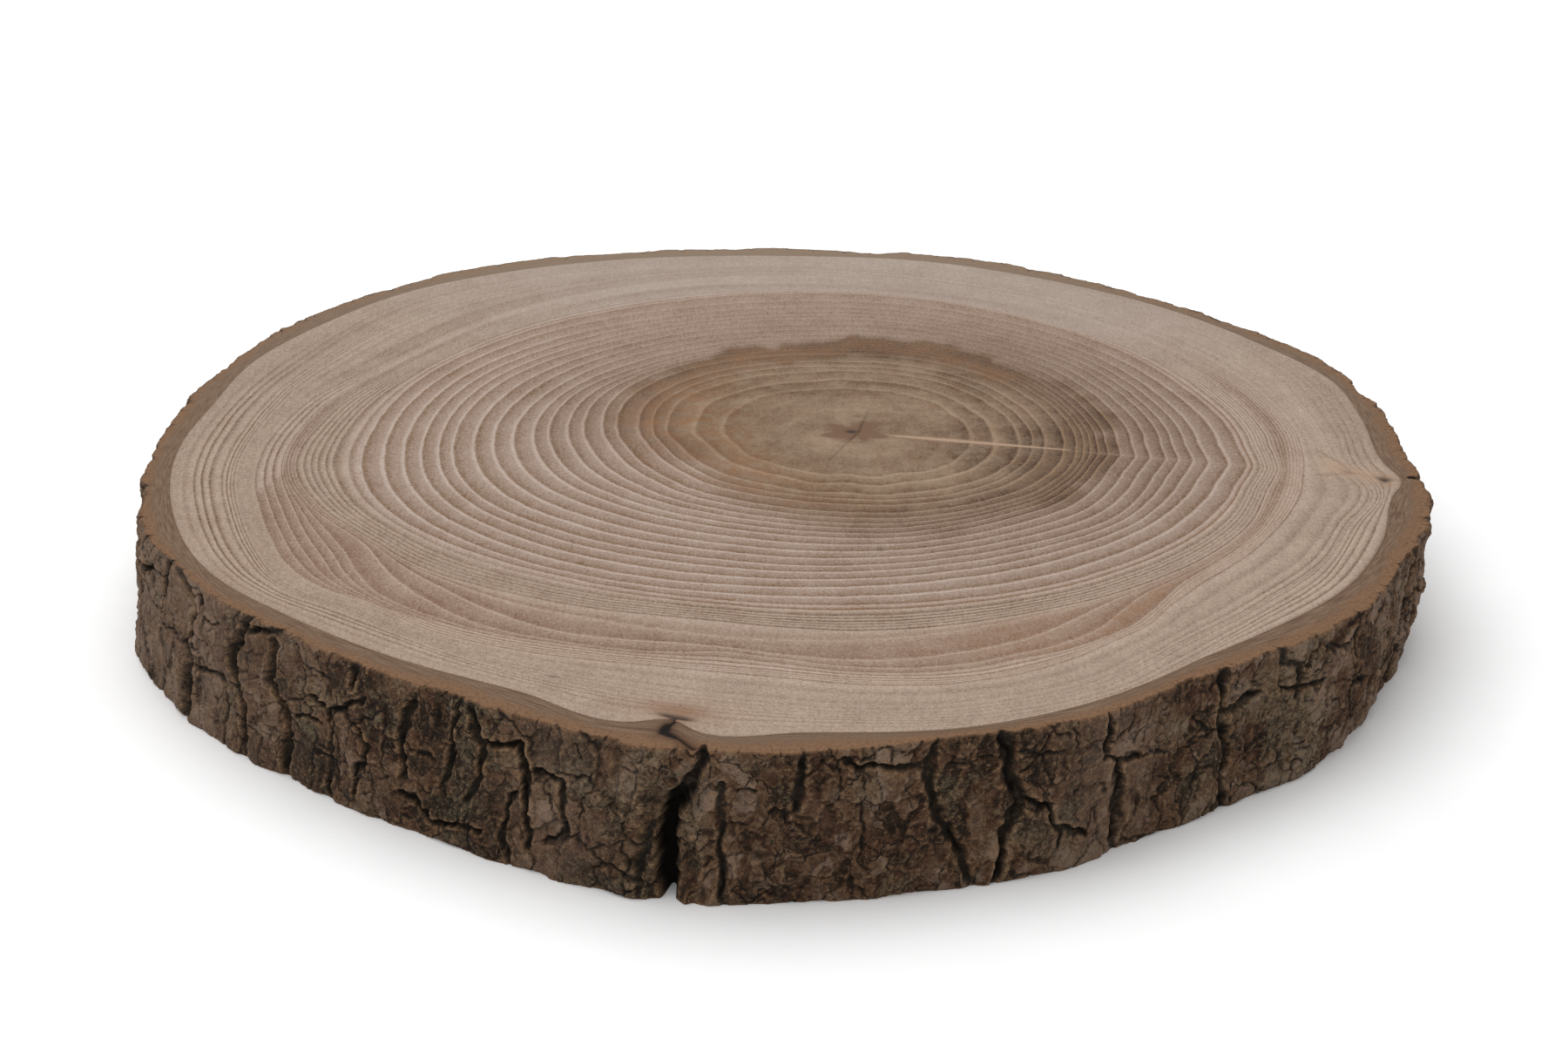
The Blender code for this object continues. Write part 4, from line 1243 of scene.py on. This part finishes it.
    # On the rim the hollow mask is the stain round the rift; on the worn side edges it is painted shade in
    # red
    for factor, paint in ((amount["worn"], look.far_rim), (mask["hollow_shade_and_rift_stain"], look.bark_red),
                          (mask["crack"], look.bark_black)):
        rim = wire(tree, "Mix", {0: factor, 6: rim, 7: paint}, 2, data_type="RGBA")
    colour = wire(tree, "Mix", {0: mask["sawn"], 6: colour, 7: rim}, 2, data_type="RGBA")
    tree.links.new(colour, shader.inputs["Base Color"])
    shader.inputs["Roughness"].default_value = 0.9
    shader.inputs["Specular IOR Level"].default_value = 0.2
    height = wire(tree, "Math", {0: noise["fine"], 1: noise["broad"]}, operation="ADD")
    bump = wire(tree, "Bump", {"Strength": 0.8, "Distance": 0.0005, "Height": height})
    tree.links.new(bump, shader.inputs["Normal"])
    return material


def paper_material(look):
    """Pale seamless paper backdrop, matt and even, which throws light back up."""
    material, tree, shader = new_material("backdrop_paper")
    place = wire(tree, "TexCoord", output="Object")
    grain = wire(tree, "TexNoise", {"Vector": place, "Scale": 60.0, "Detail": 2.0}, "Fac")
    tint = wire(tree, "Mix", {0: grain, 6: look.paper, 7: look.paper_shade}, 2, data_type="RGBA")
    tree.links.new(tint, shader.inputs["Base Color"])
    shader.inputs["Roughness"].default_value = 0.95
    shader.inputs["Specular IOR Level"].default_value = 0.1
    return material


def colour_property(name, description, colour):
    """A colour that a user may change, from its sRGB hex value."""
    return bpy.props.FloatVectorProperty(
        name=name, description=description, subtype="COLOR", size=4, min=0.0, max=1.0,
        default=linear(colour))


class SliceWoodLook(bpy.types.PropertyGroup):
    """Colours of the sawn wood."""
    sapwood_pale: colour_property("Sapwood, pale", "Early part of a ring in the outer wood", "#a69281")
    sapwood_deep: colour_property("Sapwood, deep", "Dark line that ends a ring in the outer wood", "#6a5341")
    sapwood_back_pale: colour_property("Sapwood, shaded, pale", "Outer wood of slow growth, early", "#a39488")
    sapwood_back_deep: colour_property("Sapwood, shaded, deep", "Outer wood of slow growth, late", "#7c6757")
    heartwood_pale: colour_property("Heartwood, pale", "Early part of a ring in the inner wood", "#a8968a")
    heartwood_deep: colour_property("Heartwood, deep", "Late part of a ring in the inner wood", "#765c47")
    crescent_pale: colour_property("Crescent, pale", "Early part of a ring in the crescents", "#a89484")
    crescent_deep: colour_property("Crescent, deep", "Late part of a ring in the crescents", "#785d4b")
    stain_pale: colour_property("Stain, pale", "Early part of a ring where the heart is stained", "#7d634b")
    stain_deep: colour_property("Stain, deep", "Late part of a ring where the heart is stained", "#422c1d")
    core_pale: colour_property("Core, pale", "Early part of a ring round the pith", "#8f7963")
    core_deep: colour_property("Core, deep", "Late part of a ring round the pith", "#5e4733")
    core_grey: colour_property("Core, grey", "Greyer patches round the pith", "#948069")
    ochre: colour_property("Ochre", "Ochre patches of the heart and crescents", "#835c3a")
    ingrown_warm: colour_property("Ingrown, warm", "Wood that healed round a wound", "#7f5f47")
    ray_pale: colour_property("Ray", "Pale orange line from the pith", "#a58a73")
    ingrown_dark: colour_property("Ingrown, dark", "Cracks, pith and bark caught in the wood", "#33251c")


class SliceBarkLook(bpy.types.PropertyGroup):
    """Colours of the bark and its sawn rim."""
    bark_black: colour_property("Crack", "Bottom of the cracks", "#110c08")
    # Painted shade: the fissure floors take this near-black olive in place of the shade down in the valleys
    fissure_floor_shade: colour_property("Fissure", "Floors of the fissures, with old algae", "#1a160f")
    # Bark, deep is also the painted shade in the side's hollows
    bark_deep: colour_property("Bark, deep", "Darkest plates, hollows and grime", "#241910")
    bark_red: colour_property("Bark, red", "Redder inner layers of the plates", "#4a3122")
    bark_brown: colour_property("Bark, brown", "Most of the plates", "#574232")
    bark_grey: colour_property("Bark, grey", "Weathered outer layers", "#786456")
    bark_weathered: colour_property("Bark, weathered", "Broad smooth plates, pinkish grey", "#806b5b")
    # Bark, tan is also the painted highlight on raised ridges and lit flake edges
    bark_tan: colour_property("Bark, tan", "Broken edges of the layers", "#8a6d51")
    bark_lichen: colour_property("Lichen", "Thin growth on the plates", "#716852")
    inner_bark_pale: colour_property("Inner bark, pale", "Bark next to the wood, light fibres", "#7e6754")
    inner_bark_deep: colour_property("Inner bark, deep", "Bark next to the wood, dark fibres", "#5e4838")
    cork_pale: colour_property("Cork, pale", "Sawn cork, torn grains", "#84644a")
    cork_deep: colour_property("Cork, deep", "Sawn cork, hollows", "#654b35")
    far_rim: colour_property("Far rim", "Sawn rim at the back, where the bark is thin and dry", "#8b7a69")


class SliceStageLook(bpy.types.PropertyGroup):
    """Floor, lights and camera."""
    paper: colour_property("Paper", "Backdrop paper", "#fbfbfb")
    paper_shade: colour_property("Paper shade", "Backdrop paper, slightly darker fibres", "#f7f7f7")
    sky: bpy.props.FloatProperty(name="Room light", description="Strength of the even light",
                                 default=0.62, min=0.0)
    softbox: bpy.props.FloatProperty(name="Softbox", description="Power of the overhead softbox",
                                     default=14.0, min=0.0)
    elevation: bpy.props.FloatProperty(name="Camera elevation", description="Angle above the floor",
                                       default=math.radians(25.0), subtype="ANGLE")
    roll: bpy.props.FloatProperty(name="Camera roll", description="Tilt about the line of sight",
                                  default=math.radians(0.26), subtype="ANGLE")
    distance: bpy.props.FloatProperty(name="Camera distance", description="From the target to the lens",
                                      default=0.789, unit="LENGTH")
    lens: bpy.props.FloatProperty(name="Focal length", description="In millimetres on a 36 mm sensor",
                                  default=70.0, min=1.0)


class SLICE_OT_wood_disc(bpy.types.Operator):
    """Make the sawn wood inside the bark"""
    bl_idname = "slice.wood_disc"
    bl_label = "Wood Disc"

    def execute(self, context):
        points, faces, masks = wood_disc_parts()
        material = end_grain_material(context.scene.slice_wood)
        fill_mesh("wood_disc", points, faces, masks, material)
        return {"FINISHED"}


class SLICE_OT_bark(bpy.types.Operator):
    """Make the four quarters of the bark"""
    bl_idname = "slice.bark"
    bl_label = "Bark"

    def execute(self, context):
        material = bark_material(context.scene.slice_bark)
        for name, start, stop in QUARTERS:
            points, faces, masks = bark_quarter_parts(start, stop)
            fill_mesh(name, points, faces, masks, material)
        return {"FINISHED"}


def make_floor(look):
    """The backdrop paper that the slice lies on."""
    side = FLOOR_HALF_SIDE
    mesh = bpy.data.meshes.new("floor")
    mesh.from_pydata([(-side, -side, 0), (side, -side, 0), (side, side, 0), (-side, side, 0)], [],
                     [(0, 1, 2, 3)])
    mesh.materials.append(paper_material(look))
    floor = link_object("floor", mesh)


def make_lights(look):
    """Even white light from all round, and a softbox overhead that gives the soft shadow."""
    world = bpy.data.worlds.new("even_room_light")
    world.use_nodes = True
    background = world.node_tree.nodes["Background"]
    background.inputs["Color"].default_value = (1.0, 1.0, 1.0, 1.0)
    background.inputs["Strength"].default_value = look.sky
    bpy.context.scene.world = world
    light = bpy.data.lights.new("softbox", "AREA")
    light.shape = "RECTANGLE"
    light.size, light.size_y = SOFTBOX_SIZE
    light.energy = look.softbox
    softbox = link_object("softbox", light)
    softbox.location = SOFTBOX_PLACE
    softbox.rotation_euler = (-softbox.location).to_track_quat("-Z", "Y").to_euler()


def make_camera(look):
    """The camera, as far above the table as the photograph's was."""
    rise, roll = look.elevation, look.roll
    forward = Vector((0.0, math.cos(rise), -math.sin(rise)))
    right, up = Vector((1.0, 0.0, 0.0)), Vector((0.0, math.sin(rise), math.cos(rise)))
    right, up = (math.cos(roll) * right + math.sin(roll) * up,
                 math.cos(roll) * up - math.sin(roll) * right)
    eye = bpy.data.cameras.new("camera")
    eye.lens, eye.sensor_width, eye.sensor_fit = look.lens, SENSOR_WIDTH, "HORIZONTAL"
    eye.clip_start, eye.clip_end = 0.01, 50.0
    camera = link_object("camera", eye)
    pose = Matrix((right, up, -forward)).transposed().to_4x4()
    pose.translation = Vector(CAMERA_TARGET) * MM - forward * look.distance
    camera.matrix_world = pose
    bpy.context.scene.camera = camera


class SLICE_OT_stage(bpy.types.Operator):
    """Make the floor, the soft light and the camera"""
    bl_idname = "slice.stage"
    bl_label = "Stage"

    def execute(self, context):
        look = context.scene.slice_stage
        make_floor(look)
        make_lights(look)
        make_camera(look)
        context.scene.view_settings.view_transform = "Standard"
        return {"FINISHED"}


class SLICE_PT_panel(bpy.types.Panel):
    """Lists the steps that build the slice"""
    bl_label = "Wood Slice"
    bl_idname = "SLICE_PT_panel"
    bl_space_type = "VIEW_3D"
    bl_region_type = "UI"
    bl_category = "Wood Slice"

    def draw(self, context):
        for operator in (SLICE_OT_wood_disc, SLICE_OT_bark, SLICE_OT_stage):
            self.layout.operator(operator.bl_idname)


CLASSES = (SliceWoodLook, SliceBarkLook, SliceStageLook, SLICE_OT_wood_disc, SLICE_OT_bark,
           SLICE_OT_stage, SLICE_PT_panel)


def register():
    """Register the classes and hang the looks on the scene."""
    for item in CLASSES:
        bpy.utils.register_class(item)
    bpy.types.Scene.slice_wood = bpy.props.PointerProperty(type=SliceWoodLook)
    bpy.types.Scene.slice_bark = bpy.props.PointerProperty(type=SliceBarkLook)
    bpy.types.Scene.slice_stage = bpy.props.PointerProperty(type=SliceStageLook)


def unregister():
    """Take away what register added."""
    for item in reversed(CLASSES):
        bpy.utils.unregister_class(item)
    del bpy.types.Scene.slice_wood
    del bpy.types.Scene.slice_bark
    del bpy.types.Scene.slice_stage


def main():
    """Build the stage and the slice."""
    register()
    bpy.ops.slice.stage()
    bpy.ops.slice.wood_disc()
    bpy.ops.slice.bark()


if __name__ == "__main__":
    main()
